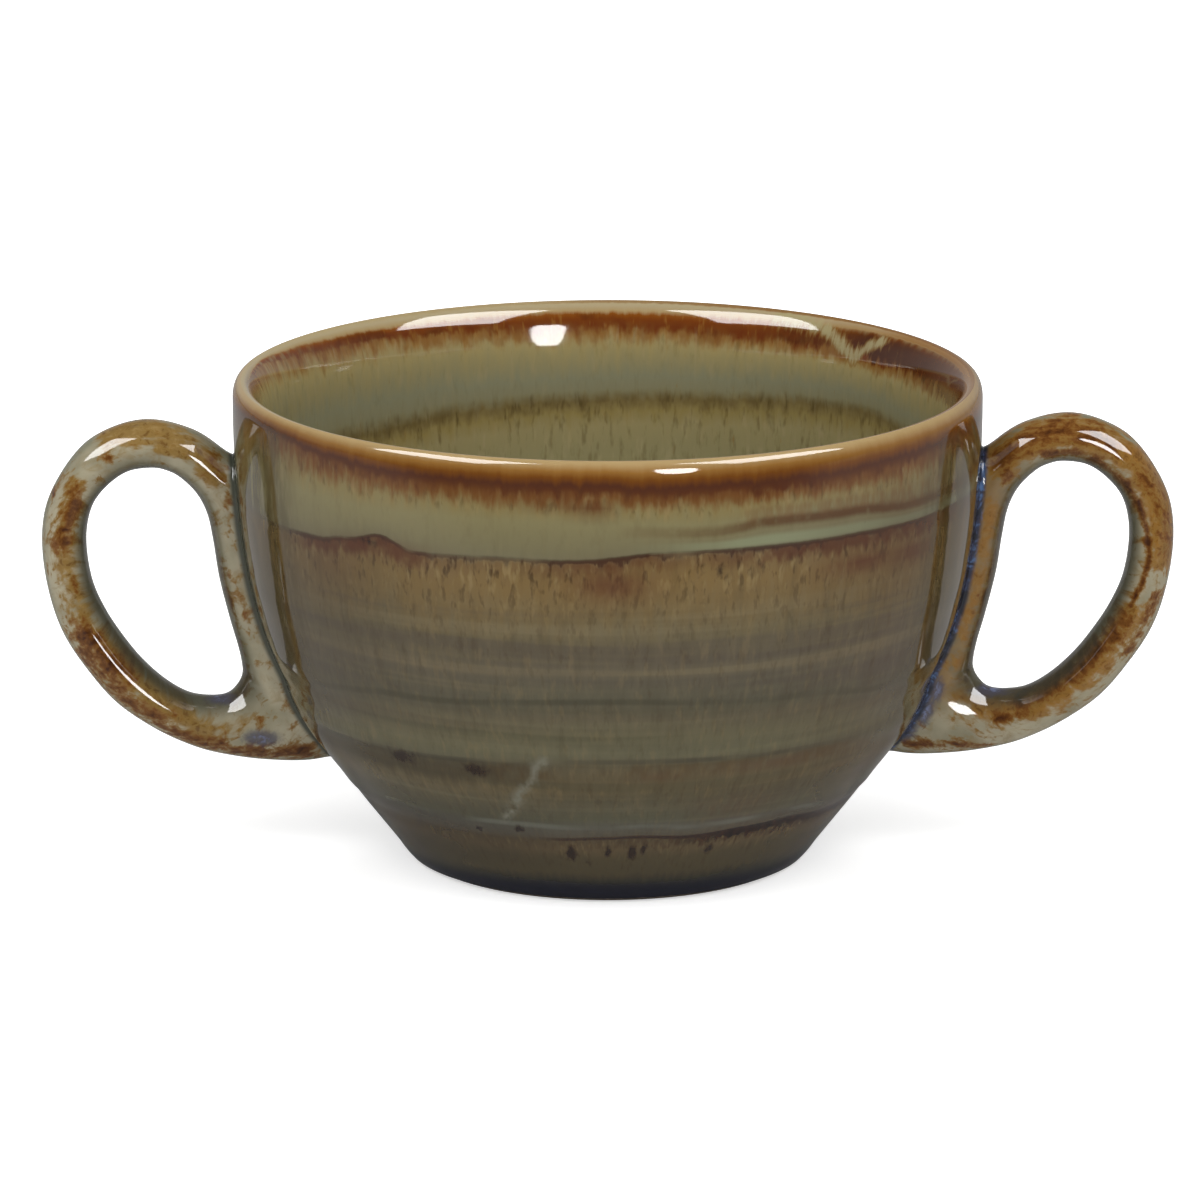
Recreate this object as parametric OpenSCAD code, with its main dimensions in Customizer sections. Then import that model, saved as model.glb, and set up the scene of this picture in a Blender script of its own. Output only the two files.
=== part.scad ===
// Stoneware soup bowl with two ear-shaped lugs, glazed inside and out.
// It stands on Z = 0 with its turning axis on Z, and the lugs reach out along X.

/* [Bowl] */
// Outside diameter at the rim, glaze included
rim_d = 105.5; // [88:0.5:130]
// Height from the table to the top of the lip, glaze included
bowl_h = 68.7; // [57:0.1:84]
// Diameter of the foot where the bowl stands
foot_d = 55; // [46:0.5:66]
// Thickness of the finished wall just below the lip, glaze included
wall_t = 4.6; // [3.8:0.1:6]
// How far in from the outside the lip is highest, glaze included
lip_top_in = 1.2; // [1:0.1:2]
// Height over which the lip rounds over on the outside
lip_out_h = 1.95; // [1.2:0.05:2.8]
// Distance below the lip where the outside has become upright
upright_below_lip = 3.2; // [3:0.1:6]
// Height over which the wall thins into the lip on the inside
lip_in_h = 9; // [4:0.5:13]
// Thickness of the clay floor above the foot recess
floor_t = 4.2; // [3:0.1:6]
// Length over which the side rolls round the shoulder
shoulder_roll = 4.4; // [2:0.1:7]
// Length over which the inside turns from the side into the floor
floor_roll = 11; // [5:0.5:16]

/* [Foot] */
// Width of the ring of bare clay that the bowl stands on
foot_ring_w = 3.4; // [2.5:0.1:6]
// Depth of the recess inside the foot ring
foot_recess_h = 2; // [1:0.1:4]
// Corner taken off both edges of the foot ring
foot_edge = 0.5; // [0.2:0.1:0.8]
// Height of bare clay between the table and the start of the glaze
foot_bare_h = 0.9; // [0.6:0.1:3]

/* [Lugs] */
// How far a lug stands out from the wall, glaze included
lug_reach = 29; // [24:0.5:35]
// Distance of the lugs' highest point below the top of the lip
lug_below_lip = 5.7; // [4:0.1:9]
// Height of the lugs' underside above the table
lug_above_table = 13.6; // [11:0.1:17]
// Thickness of the strap at its outermost point, glaze included
strap_t = 6.3; // [5:0.1:7.5]
// Thickness of the strap across its top
strap_top_t = 6.8; // [5.5:0.1:8]
// Thickness of the web below the finger hole
web_t = 9.2; // [7.5:0.1:11]
// Thickness of the leg that runs down the wall
leg_t = 4.2; // [3.4:0.1:5]
// Width of the strap from front to back
strap_w = 9; // [7:0.1:11]
// How far the left lug was set above or below its drawn place
left_lift = -0.5; // [-1.5:0.1:1.5]
// How far the right lug was set above or below its drawn place
right_lift = 0.5; // [-1.5:0.1:1.5]

/* [Slip and glaze] */
// Thickness of the slip that joins a lug to the wall
slip_t = 0.5; // [0.3:0.1:1]
// Thickness of the fired glaze
glaze_t = 0.35; // [0.25:0.05:0.5]

/* [Hidden] */

// The clay under the glaze
clay_r = rim_d / 2 - glaze_t;
clay_h = bowl_h - glaze_t;
lip_out_w = lip_top_in - glaze_t;
lip_in_w = wall_t - lip_top_in - glaze_t;
foot_r = foot_d / 2;
ring_in_r = foot_r - foot_ring_w;
floor_z = foot_recess_h + floor_t;

// Where the straight flare meets the upright wall, outwards and upwards, outside and inside
outer_shoulder_shares = [0.675, 0.335];
inner_shoulder_shares = [0.72, 0.4];
// Lean of the wall just above the shoulder, against its chord to the rim
lean_share = 1.44;
// Pull of the upright wall's curve at its lower and upper end
low_pull_share = 0.06;
high_pull_share = 0.73;
// Radius of the inside corner at the floor, against the foot's radius
inside_foot_share = 1;

// The lug's outline, one row for each station round the finger hole, from the top corner outwards.
// First pair: the outer edge, from the root inside the wall to the tip, and from the underside to the top.
// Second pair: the edge of the hole, across and up the hole. Last: the strap's width there.
lug_shares = [
    [0.00, 0.82, 0.085, 0.89, 1.04],
    [0.195, 0.94, 0.20, 0.96, 1.03],
    [0.335, 0.985, 0.30, 0.99, 1.02],
    [0.48, 1.00, 0.41, 1.00, 1.00],
    [0.62, 0.98, 0.585, 0.985, 0.98],
    [0.755, 0.93, 0.74, 0.93, 0.97],
    [0.87, 0.84, 0.87, 0.85, 0.96],
    [0.95, 0.74, 0.945, 0.75, 0.95],
    [0.988, 0.625, 0.98, 0.635, 0.95],
    [1.00, 0.49, 0.985, 0.50, 0.95],
    [0.993, 0.37, 0.95, 0.385, 0.95],
    [0.957, 0.26, 0.895, 0.28, 0.96],
    [0.89, 0.17, 0.825, 0.17, 0.97],
    [0.805, 0.10, 0.715, 0.075, 0.98],
    [0.71, 0.05, 0.575, 0.015, 1.00],
    [0.60, 0.02, 0.42, 0.00, 1.01],
    [0.415, 0.00, 0.28, 0.01, 1.03],
    [0.19, 0.00, 0.17, 0.05, 1.05],
    [0.00, 0.04, 0.10, 0.10, 1.06],
    [0.00, 0.14, 0.06, 0.155, 1.05],
    [0.00, 0.26, 0.03, 0.23, 1.02],
    [0.00, 0.38, 0.015, 0.345, 1.00],
    [0.00, 0.52, 0.01, 0.52, 1.00],
    [0.00, 0.66, 0.003, 0.68, 1.01],
    [0.00, 0.76, 0.02, 0.80, 1.03]
];
// Depth below the wall's surface from which a lug's section is drawn
root_depth = 3;
// Squareness of the strap's section: 1 is an ellipse, less is fuller
section_share = 1;

// Steps in each drawn curve, over the lip, and round a lug and its strap
roll_steps = 5;
wall_steps = 12;
lip_steps = 12;
rings_per_station = 2;
strap_sides = 16;
$fn = 96;

function unit(v) = v / norm(v);
function between(a, b, t) = a + t * (b - a);
function bend(a, b, c, t) = between(between(a, b, t), between(b, c, t), t);
function cubic(a, b, c, d, t) = between(bend(a, b, c, t), bend(b, c, d, t), t);

// The side from the foot up: a straight flare, a rolled shoulder, and a wall that ends upright
function shoulder(base, top, shares) = [
    base.x + shares[0] * (top.x - base.x),
    base.y + shares[1] * (top.y - base.y)
];
function side(base, top, shares) =
    let (
        s = shoulder(base, top, shares),
        up = unit([lean_share * (top.x - s.x), top.y - s.y]),
        low = s - shoulder_roll * unit(s - base),
        high = s + shoulder_roll * up,
        rise = top.y - high.y,
        pull = high + low_pull_share * rise * up,
        plumb = [top.x, top.y - high_pull_share * rise]
    )
    concat(
        [for (i = [0:roll_steps]) bend(low, s, high, i / roll_steps)],
        [for (i = [1:wall_steps]) cubic(high, pull, plumb, top, i / wall_steps)]
    );
function backwards(run) = [for (i = [len(run) - 1:-1:0]) run[i]];

// The clay's surface in one run: up the outside, over the lip, down the inside, to the floor's middle
foot_pt = [foot_r, 0];
outer_rim_pt = [clay_r, clay_h - upright_below_lip];
outer_run = side(foot_pt, outer_rim_pt, outer_shoulder_shares);
flare = unit(outer_run[0] - foot_pt);
glaze_start_pt = foot_pt + foot_bare_h / flare.y * flare;

inner_foot_pt = [foot_r * inside_foot_share, floor_z];
inner_rim_pt = [clay_r - lip_out_w - lip_in_w, clay_h - lip_in_h];
inner_run = side(inner_foot_pt, inner_rim_pt, inner_shoulder_shares);
inner_flare = unit(inner_run[0] - inner_foot_pt);
roll_in = min(floor_roll, inner_foot_pt.x, norm(inner_run[0] - inner_foot_pt));
floor_run = [
    for (i = [0:roll_steps])
        bend(
            inner_foot_pt + roll_in * inner_flare,
            inner_foot_pt,
            inner_foot_pt - [roll_in, 0],
            i / roll_steps
        )
];
lip_run = [
    for (i = [0:lip_steps])
        let (
            angle = 180 * i / lip_steps,
            w = angle < 90 ? lip_out_w : lip_in_w,
            drop = angle < 90 ? lip_out_h : lip_in_h
        )
        [clay_r - lip_out_w + w * cos(angle), clay_h - drop + drop * sin(angle)]
];
clay_run = concat(
    [glaze_start_pt],
    outer_run,
    lip_run,
    backwards([for (i = [0:len(inner_run) - 2]) inner_run[i]]),
    floor_run,
    [[0, floor_z]]
);
crest = len(outer_run) + 1 + lip_steps / 2;

// The same run moved out by a layer's thickness
function outward(run, i) =
    let (d = unit(run[min(i + 1, len(run) - 1)] - run[max(i - 1, 0)])) [d.y, -d.x];
function coated(run, t) = [for (i = [0:len(run) - 1]) run[i] + t * outward(run, i)];
function part_of(run, first, last) = [for (i = [first:last]) run[i]];

glaze_run = coated(clay_run, glaze_t);
slip_run = coated(clay_run, slip_t);
rim_i = len(outer_run);
glazed_side = part_of(glaze_run, 0, rim_i);

// Radius of the finished wall at a height
function wall_r(z) = lookup(z, [for (p = glazed_side) [p.y, p.x]]);

// A solid of revolution under a stretch of a run, filled to the axis
module filled(run) {
    polygon_run = concat([[0, run[0].y]], run, [[0, run[len(run) - 1].y]]);
    rotate_extrude() polygon(polygon_run);
}

// A coat between two runs
module coat(under, over) {
    rotate_extrude() polygon(concat(under, backwards(over)));
}

// A lug's heights and hole, from the wall it is set on
lug_h = bowl_h - lug_below_lip - lug_above_table;
hole_w = lug_reach - leg_t - strap_t;
hole_h = lug_h - strap_top_t - web_t;

function outer_edge(s) =
    let (z = lug_above_table + s[1] * lug_h)
    [wall_r(z) - root_depth + s[0] * (lug_reach + root_depth), z];
function hole_edge(s) =
    let (z = lug_above_table + web_t + s[3] * hole_h)
    [wall_r(z) + leg_t + s[2] * hole_w, z];

// A closed smooth run through the stations' values
function wrapped(list, i) = list[(i + len(list)) % len(list)];
function smooth_at(list, i, t) =
    let (
        a = wrapped(list, i - 1),
        b = wrapped(list, i),
        c = wrapped(list, i + 1),
        d = wrapped(list, i + 2),
        pull = (c - a) / 2,
        push = (d - b) / 2
    )
    cubic(b, b + pull / 3, c - push / 3, c, t);
function smooth_run(list) = [
    for (i = [0:len(list) - 1], k = [0:rings_per_station - 1])
        smooth_at(list, i, k / rings_per_station)
];

lug_outer = smooth_run([for (s = lug_shares) outer_edge(s)]);
lug_hole = smooth_run([for (s = lug_shares) hole_edge(s)]);
lug_width = smooth_run([for (s = lug_shares) s[4] * strap_w]);

// One section of the strap, drawn in by the thickness of what lies over it
function fuller(v) = sign(v) * pow(abs(v), section_share);
function strap_ring(i, inset) =
    let (
        across = unit(lug_outer[i] - lug_hole[i]),
        middle = (lug_outer[i] + lug_hole[i]) / 2,
        half = norm(lug_outer[i] - lug_hole[i]) / 2 - inset,
        half_w = lug_width[i] / 2 - inset
    )
    [
        for (k = [0:strap_sides - 1])
            let (
                angle = 360 * k / strap_sides,
                p = middle + half * fuller(cos(angle)) * across
            )
            [p.x, half_w * fuller(sin(angle)), p.y]
    ];

// The whole ear, from inside the wall, as one closed ring of sections
module ear(inset, lift) {
    rings = len(lug_outer);
    points = [for (i = [0:rings - 1]) each strap_ring(i, inset)];
    faces = [
        for (i = [0:rings - 1], k = [0:strap_sides - 1])
            let (
                a = i * strap_sides + k,
                b = i * strap_sides + (k + 1) % strap_sides,
                c = (i + 1) % rings * strap_sides + (k + 1) % strap_sides,
                d = (i + 1) % rings * strap_sides + k
            )
            each [[a, b, c], [a, c, d]]
    ];
    translate([0, 0, lift]) polyhedron(points, faces);
}

module clay_ear(lift) { ear(glaze_t, lift); }

// A lug's clay starts outside the slip on the wall
module lug_clay(lift) {
    difference() {
        clay_ear(lift);
        filled(part_of(slip_run, 0, rim_i));
    }
}

module lug_slip(lift) {
    intersection() {
        clay_ear(lift);
        coat(part_of(clay_run, 0, rim_i), part_of(slip_run, 0, rim_i));
    }
}

module lug_glaze(lift) {
    difference() {
        ear(0, lift);
        clay_ear(lift);
        filled(glazed_side);
    }
}

module left() { mirror([1, 0, 0]) children(); }

module bowl_body() {
    foot_line = [
        [0, foot_recess_h],
        [ring_in_r, foot_recess_h],
        [ring_in_r, foot_edge],
        [ring_in_r + foot_edge, 0],
        [foot_r - foot_edge, 0],
        foot_pt + foot_edge / flare.y * flare
    ];
    color("burlywood") rotate_extrude() polygon(concat(foot_line, clay_run));
}

module left_lug() { color("wheat") left() lug_clay(left_lift); }

module right_lug() { color("wheat") lug_clay(right_lift); }

module left_lug_slip() { color("tan") left() lug_slip(left_lift); }

module right_lug_slip() { color("tan") lug_slip(right_lift); }

module inside_glaze() {
    last = len(clay_run) - 1;
    color("#7b7152") coat(part_of(clay_run, crest, last), part_of(glaze_run, crest, last));
}

// The coat runs up to the lugs' clay, and thins out at its lower edge
module outside_glaze() {
    start = clay_run[0] + glaze_t * flare;
    over = concat([start + glaze_t * outward(clay_run, 0)], part_of(glaze_run, 1, crest));
    color("#6b5b3f") difference() {
        coat(part_of(clay_run, 0, crest), over);
        left() clay_ear(left_lift);
        clay_ear(right_lift);
    }
}

module foot_recess_glaze() {
    color("#3c3a3a")
        translate([0, 0, foot_recess_h - glaze_t])
            cylinder(h = glaze_t, r = ring_in_r - foot_edge);
}

module left_lug_glaze() { color("#a3a086") left() lug_glaze(left_lift); }

module right_lug_glaze() { color("#a3a086") lug_glaze(right_lift); }

bowl_body();
left_lug();
right_lug();
left_lug_slip();
right_lug_slip();
inside_glaze();
outside_glaze();
foot_recess_glaze();
left_lug_glaze();
right_lug_glaze();
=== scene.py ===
# %% [markdown]
# # A lug soup bowl in reactive glaze
#
# The real bowl is a round stoneware bowl with two ear-shaped handles, which potters call lugs. It was
# turned, the lugs were stuck on with slip, and the whole was dipped in two glazes that ran into each other
# in the kiln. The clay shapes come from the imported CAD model. This file adds what the kiln did: the glaze
# coats with their ridges, their runs and their melted seams, and the light to see them by.

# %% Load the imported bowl
import math

import bmesh
import bpy
import numpy as np
from mathutils import Matrix, Vector, noise
from mathutils.bvhtree import BVHTree


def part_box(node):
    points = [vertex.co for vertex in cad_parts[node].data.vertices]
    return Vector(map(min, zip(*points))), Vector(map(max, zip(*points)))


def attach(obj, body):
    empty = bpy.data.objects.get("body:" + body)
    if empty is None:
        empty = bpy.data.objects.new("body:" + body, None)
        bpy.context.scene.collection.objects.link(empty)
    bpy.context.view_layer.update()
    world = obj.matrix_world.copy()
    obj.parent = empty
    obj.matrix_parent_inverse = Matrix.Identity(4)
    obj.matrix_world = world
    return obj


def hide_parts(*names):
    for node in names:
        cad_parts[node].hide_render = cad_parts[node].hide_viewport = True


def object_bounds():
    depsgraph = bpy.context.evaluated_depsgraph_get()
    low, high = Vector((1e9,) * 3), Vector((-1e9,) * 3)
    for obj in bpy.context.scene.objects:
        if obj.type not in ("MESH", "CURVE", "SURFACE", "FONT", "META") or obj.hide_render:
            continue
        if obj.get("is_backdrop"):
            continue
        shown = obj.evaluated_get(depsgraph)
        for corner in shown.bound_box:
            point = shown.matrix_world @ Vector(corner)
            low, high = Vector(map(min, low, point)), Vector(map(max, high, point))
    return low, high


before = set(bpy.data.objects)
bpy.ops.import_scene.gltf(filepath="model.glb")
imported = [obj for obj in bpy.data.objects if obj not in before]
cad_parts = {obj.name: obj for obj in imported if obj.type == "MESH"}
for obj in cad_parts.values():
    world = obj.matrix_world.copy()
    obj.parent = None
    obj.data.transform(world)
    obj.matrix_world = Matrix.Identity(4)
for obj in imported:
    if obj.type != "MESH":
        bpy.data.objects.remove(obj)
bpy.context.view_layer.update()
print("pieces of the packed bowl:", ", ".join(sorted(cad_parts)))

# %% [markdown]
# ## The camera
#
# The photograph was taken with a long lens from a little above the rim. A camera could be placed by eye,
# but the ellipses of the rim and the foot fix it much better: their heights give the angle, and how much
# flatter the rim's is than the foot's gives the distance. The numbers here come from such a fit. The small
# shift puts the bowl where the photograph has it in the frame, without turning the camera.

# %% Camera
MM = 0.001
CAMERA_DISTANCE = 1.1
CAMERA_ANGLE = math.radians(14.42)
CAMERA_AIM = Vector((0, 0, 34.35 * MM))

camera_data = bpy.data.cameras.new("photo_camera")
camera_data.lens = 232.86
camera_data.shift_x = -0.0064
camera_data.shift_y = 0.0112
camera = bpy.data.objects.new("photo_camera", camera_data)
back_off = Vector((0, -math.cos(CAMERA_ANGLE), math.sin(CAMERA_ANGLE)))
camera.location = CAMERA_AIM + CAMERA_DISTANCE * back_off
camera.rotation_euler = (math.pi / 2 - CAMERA_ANGLE, 0, 0)
bpy.context.scene.collection.objects.link(camera)
bpy.context.scene.camera = camera
bpy.context.scene.view_settings.view_transform = "Standard"
print("camera at", [round(v, 3) for v in camera.location])

# %% [markdown]
# ## Four helpers
#
# A material in Blender is a tree of nodes. Writing each node out takes four or five lines, so one helper
# adds a node, sets it up and links what flows into it. Another turns a colour as a screen shows it, in hex,
# into the linear numbers that light is computed with. The last two start an empty material and put a
# modelled form into the scene.

# %% Helpers for colours, nodes, materials and objects
def linear(hex_colour):
    """A screen colour such as #8a5a2c as linear red, green, blue and full alpha."""
    screen = [int(hex_colour[i:i + 2], 16) / 255 for i in (1, 3, 5)]
    light = [c / 12.92 if c <= 0.04045 else ((c + 0.055) / 1.055) ** 2.4 for c in screen]
    return (*light, 1.0)


def add(tree, kind, inputs=None, **settings):
    """Adds a node: settings go on the node, inputs are values or other nodes' outputs."""
    new = tree.nodes.new(kind)
    for name, value in settings.items():
        setattr(new, name, value)
    for name, value in (inputs or {}).items():
        socket = new.inputs[name]
        if isinstance(value, bpy.types.NodeSocket):
            tree.links.new(value, socket)
        else:
            socket.default_value = value
    return new


def new_material(name):
    """A material and its node tree, with nothing in it."""
    material = bpy.data.materials.new(name)
    material.use_nodes = True
    material.node_tree.nodes.clear()
    return material, material.node_tree


def object_from(form, name):
    """Puts a form into the scene as an object and frees it."""
    mesh = bpy.data.meshes.new(name)
    form.to_mesh(mesh)
    form.free()
    new = bpy.data.objects.new(name, mesh)
    bpy.context.scene.collection.objects.link(new)
    return new


print("mid grey as light:", [round(v, 3) for v in linear("#808080")[:3]])

# %% [markdown]
# ## The floor and the room
#
# The bowl stood on white paper that curves away out of sight. The paper is plain white card with a matt
# face. Lit by the lamps alone it would come out a little grey, and the photograph shows it white, so it
# also glows a little where the camera sees it: least near the bowl, which keeps the bowl's shadow. The
# glaze is shiny enough to mirror the paper. In the photograph the mirrored paper ends a hand's breadth
# before the bowl, where the table ends and the dim room begins, so in reflections the paper fades there.

# %% Floor
PAPER_WHITE = 0.8
PAPER_END = -0.17
PAPER_FADE = 0.05
MIRRORED_NEAR, MIRRORED_FAR = 0.42, 0.08
GLOW_START, GLOW_FULL = 0.05, 0.3
GLOW_LEAST = 0.55

floor_form = bmesh.new()
bmesh.ops.create_circle(floor_form, cap_ends=True, segments=96, radius=3.0)
floor = object_from(floor_form, "studio_paper")

paper, tree = new_material("matt_white_paper")
place = add(tree, "ShaderNodeTexCoord").outputs["Object"]
depth = add(tree, "ShaderNodeSeparateXYZ", {"Vector": place}).outputs["Y"]
white_share = add(tree, "ShaderNodeMapRange", {
    "Value": depth, "From Min": PAPER_END - PAPER_FADE, "From Max": PAPER_END + PAPER_FADE,
    "To Min": MIRRORED_FAR, "To Max": MIRRORED_NEAR}, interpolation_type="SMOOTHSTEP").outputs["Result"]
ray = add(tree, "ShaderNodeLightPath").outputs
matt = add(tree, "ShaderNodeBsdfDiffuse",
           {"Color": (PAPER_WHITE, PAPER_WHITE, PAPER_WHITE, 1)}).outputs["BSDF"]
from_bowl = add(tree, "ShaderNodeVectorMath", {0: place}, operation="LENGTH").outputs["Value"]
lift = add(tree, "ShaderNodeMapRange", {
    "Value": from_bowl, "From Min": GLOW_START, "From Max": GLOW_FULL,
    "To Min": GLOW_LEAST, "To Max": 1.0}).outputs["Result"]
seen = add(tree, "ShaderNodeMath", {0: ray["Is Camera Ray"], 1: ray["Is Transmission Ray"]},
           operation="MAXIMUM").outputs["Value"]
lift_seen = add(tree, "ShaderNodeMath", {0: seen, 1: lift}, operation="MULTIPLY").outputs["Value"]
glow = add(tree, "ShaderNodeEmission", {"Color": (1, 1, 1, 1), "Strength": lift_seen}).outputs["Emission"]
white_card = add(tree, "ShaderNodeAddShader", {0: matt, 1: glow}).outputs["Shader"]
grey = add(tree, "ShaderNodeMath", {0: white_share, 1: PAPER_WHITE}, operation="MULTIPLY").outputs["Value"]
mirrored = add(tree, "ShaderNodeBsdfDiffuse", {"Color": grey}).outputs["BSDF"]
all_rays = add(tree, "ShaderNodeMixShader",
               {0: ray["Is Glossy Ray"], 1: white_card, 2: mirrored}).outputs["Shader"]
add(tree, "ShaderNodeOutputMaterial", {"Surface": all_rays})
floor.data.materials.append(paper)
floor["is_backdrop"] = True
print("paper of", round(floor.dimensions.x, 1), "m")

# %% [markdown]
# The room above the table is plain and fairly dark, which is what gives the wall of the bowl its full
# colour in the middle. The camera sees white there, as it does in the photograph. What the glaze mirrors is
# white low down beside and behind the bowl, where the paper curves up, and dim in front and overhead.

# %% Room
ROOM_LIGHT = 0.35
MIRRORED_ROOM, MIRRORED_PAPER = 0.1, 0.38
RISE_START_Y, RISE_FULL_Y = -0.5, 0.3
RISE_FULL_Z, RISE_END_Z = 0.15, 0.6

room = bpy.data.worlds.new("studio_room")
bpy.context.scene.world = room
room.use_nodes = True
tree = room.node_tree
tree.nodes.clear()
look = add(tree, "ShaderNodeTexCoord").outputs["Generated"]
look_parts = add(tree, "ShaderNodeSeparateXYZ", {"Vector": look}).outputs
behind = add(tree, "ShaderNodeMapRange", {
    "Value": look_parts["Y"], "From Min": RISE_START_Y, "From Max": RISE_FULL_Y},
    interpolation_type="SMOOTHSTEP").outputs["Result"]
low = add(tree, "ShaderNodeMapRange", {
    "Value": look_parts["Z"], "From Min": RISE_FULL_Z, "From Max": RISE_END_Z,
    "To Min": 1.0, "To Max": 0.0}, interpolation_type="SMOOTHSTEP").outputs["Result"]
paper_wall = add(tree, "ShaderNodeMath", {0: behind, 1: low}, operation="MULTIPLY").outputs["Value"]
mirror_level = add(tree, "ShaderNodeMapRange", {
    "Value": paper_wall, "To Min": MIRRORED_ROOM, "To Max": MIRRORED_PAPER}).outputs["Result"]
ray = add(tree, "ShaderNodeLightPath").outputs
ambient = add(tree, "ShaderNodeBackground", {
    "Color": (1, 1, 1, 1), "Strength": ROOM_LIGHT}).outputs["Background"]
mirror_room = add(tree, "ShaderNodeBackground", {
    "Color": (1, 1, 1, 1), "Strength": mirror_level}).outputs["Background"]
white = add(tree, "ShaderNodeBackground", {"Color": (1, 1, 1, 1), "Strength": 1.0}).outputs["Background"]
seen = add(tree, "ShaderNodeMath", {0: ray["Is Camera Ray"], 1: ray["Is Transmission Ray"]},
           operation="MAXIMUM").outputs["Value"]
lit = add(tree, "ShaderNodeMixShader",
          {0: ray["Is Glossy Ray"], 1: ambient, 2: mirror_room}).outputs["Shader"]
whole = add(tree, "ShaderNodeMixShader", {0: seen, 1: lit, 2: white}).outputs["Shader"]
add(tree, "ShaderNodeOutputWorld", {"Surface": whole})
print("room ready")

# %% [markdown]
# ## The softboxes
#
# A photographer lights such a bowl with two large softboxes, left and right of the camera and above it.
# Their mirror images are the long bright lenses on the back of the rim. A third, small source stands to the
# right of the camera: its image is the little bright window at the middle of the rim. The lamps give the
# light, and cards of the same size, a little farther out, are what the glaze mirrors. So the light stays at
# a plain level while the mirror images are as bright and as far apart as the photograph's. A weaker lamp
# behind lights the bowl's back, which the photograph doesn't show.

# %% Lamps
SOFTBOX_DISTANCE = 1.5
SOFTBOX_SIZE = (0.96, 0.82)
WINDOW_SIZE = (0.32, 0.55)


def toward(azimuth, elevation, distance):
    """A place seen from the bowl: azimuth is counted from the camera to the right, in degrees."""
    a, e = math.radians(azimuth), math.radians(elevation)
    flat = math.cos(e)
    return distance * Vector((flat * math.sin(a), -flat * math.cos(a), math.sin(e)))


def lamp(name, azimuth, elevation, size, watts):
    """A softbox as a lamp: it gives light and isn't mirrored."""
    place = toward(azimuth, elevation, SOFTBOX_DISTANCE)
    lamp_data = bpy.data.lights.new(name, "AREA")
    lamp_data.shape = "RECTANGLE"
    lamp_data.size, lamp_data.size_y = size
    lamp_data.energy = watts
    new = bpy.data.objects.new(name, lamp_data)
    new.location = place
    new.rotation_euler = (CAMERA_AIM - place).to_track_quat("-Z", "Y").to_euler()
    new.visible_glossy = False
    new.visible_camera = False
    bpy.context.scene.collection.objects.link(new)
    print(name, "at", [round(v, 2) for v in place])


lamp("left_lamp", -43, 48, SOFTBOX_SIZE, 10.7)
lamp("right_lamp", 43, 48, SOFTBOX_SIZE, 10.7)
lamp("window_lamp", 20.5, 15, WINDOW_SIZE, 1)
lamp("back_lamp", 180, 40, (0.9, 0.7), 7)

# %% Cards
def card(name, azimuth, elevation, size, glow, corners=(0.07, 0.07)):
    """A softbox as the glaze mirrors it; its top and bottom are rounded by those shares of its size."""
    place = toward(azimuth, elevation, SOFTBOX_DISTANCE)
    turn = (CAMERA_AIM - place).to_track_quat("-Z", "Y")
    form = bmesh.new()
    bmesh.ops.create_grid(form, x_segments=1, y_segments=1, size=0.5)
    for half, offset in ((1, corners[0]), (-1, corners[1])):
        ends = [v for v in form.verts if half * v.co.y > 0.49]
        bmesh.ops.bevel(form, geom=ends, affect="VERTICES", offset=offset, segments=8, profile=0.5,
                        material=-1)
    bmesh.ops.scale(form, vec=(*size, 1), verts=form.verts)
    bmesh.ops.transform(form, matrix=Matrix.Translation(place) @ turn.to_matrix().to_4x4(),
                        verts=form.verts)
    new = object_from(form, name)
    cloth, tree = new_material(name + "_diffuser")
    shine = add(tree, "ShaderNodeEmission", {"Color": (1, 1, 1, 1), "Strength": glow})
    add(tree, "ShaderNodeOutputMaterial", {"Surface": shine.outputs["Emission"]})
    new.data.materials.append(cloth)
    new.visible_camera = False
    new.visible_diffuse = False
    new.visible_shadow = False
    new.visible_transmission = False
    new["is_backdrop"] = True
    print(name, "at", [round(v, 2) for v in place])


card("left_card", -61, 48, SOFTBOX_SIZE, 13)
card("right_card", 61, 48, SOFTBOX_SIZE, 13)
card("window_card", 20.5, 15, WINDOW_SIZE, 22, corners=(0.28, 0.49))

# %% [markdown]
# ## The wall's drawing
#
# A potter shapes such a bowl to a drawn profile: a straight flare from the foot, a rolled shoulder, and a
# wall that ends upright at the lip. The CAD model has the same profile in short straight steps. Glaze hides
# the steps of real clay, so the coats here follow the smooth curves themselves. All values are in
# millimetres.

# %% Measures of the wall
RIM_R = 52.75
BOWL_H = 68.7
FOOT_R = 27.5
WALL_T = 4.6
LIP_TOP_IN = 1.2
LIP_OUT_H = 1.95
UPRIGHT_BELOW_LIP = 3.2
LIP_IN_H = 9.0
FLOOR_Z = 6.2
SHOULDER_ROLL = 4.4
FLOOR_ROLL = 11.0
FOOT_BARE_H = 0.9
GLAZE_T = 0.35
OUTER_SHOULDER = (0.675, 0.335)
INNER_SHOULDER = (0.72, 0.4)
LEAN = 1.44
LOW_PULL, HIGH_PULL = 0.06, 0.73
FLARE_ROWS = 26
LIP_OUT_ROWS, LIP_IN_ROWS = 20, 28
TURN_ROWS, FLAT_ROWS = 10, 14
CLAY_R = RIM_R - GLAZE_T
CLAY_H = BOWL_H - GLAZE_T
print("clay up to", round(CLAY_H, 2), "mm, its radius", round(CLAY_R, 2), "mm")

# %% Curves
def between(a, b, t):
    """A place on the way from a to b: at a when t is 0, at b when it is 1."""
    return a + (b - a) * t


def bend(a, b, c, t):
    """A curve from a to c that b pulls towards itself."""
    return between(between(a, b, t), between(b, c, t), t)


def cubic(a, b, c, d, t):
    """A curve from a to d that b and c pull towards themselves."""
    return between(bend(a, b, c, t), bend(b, c, d, t), t)


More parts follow.
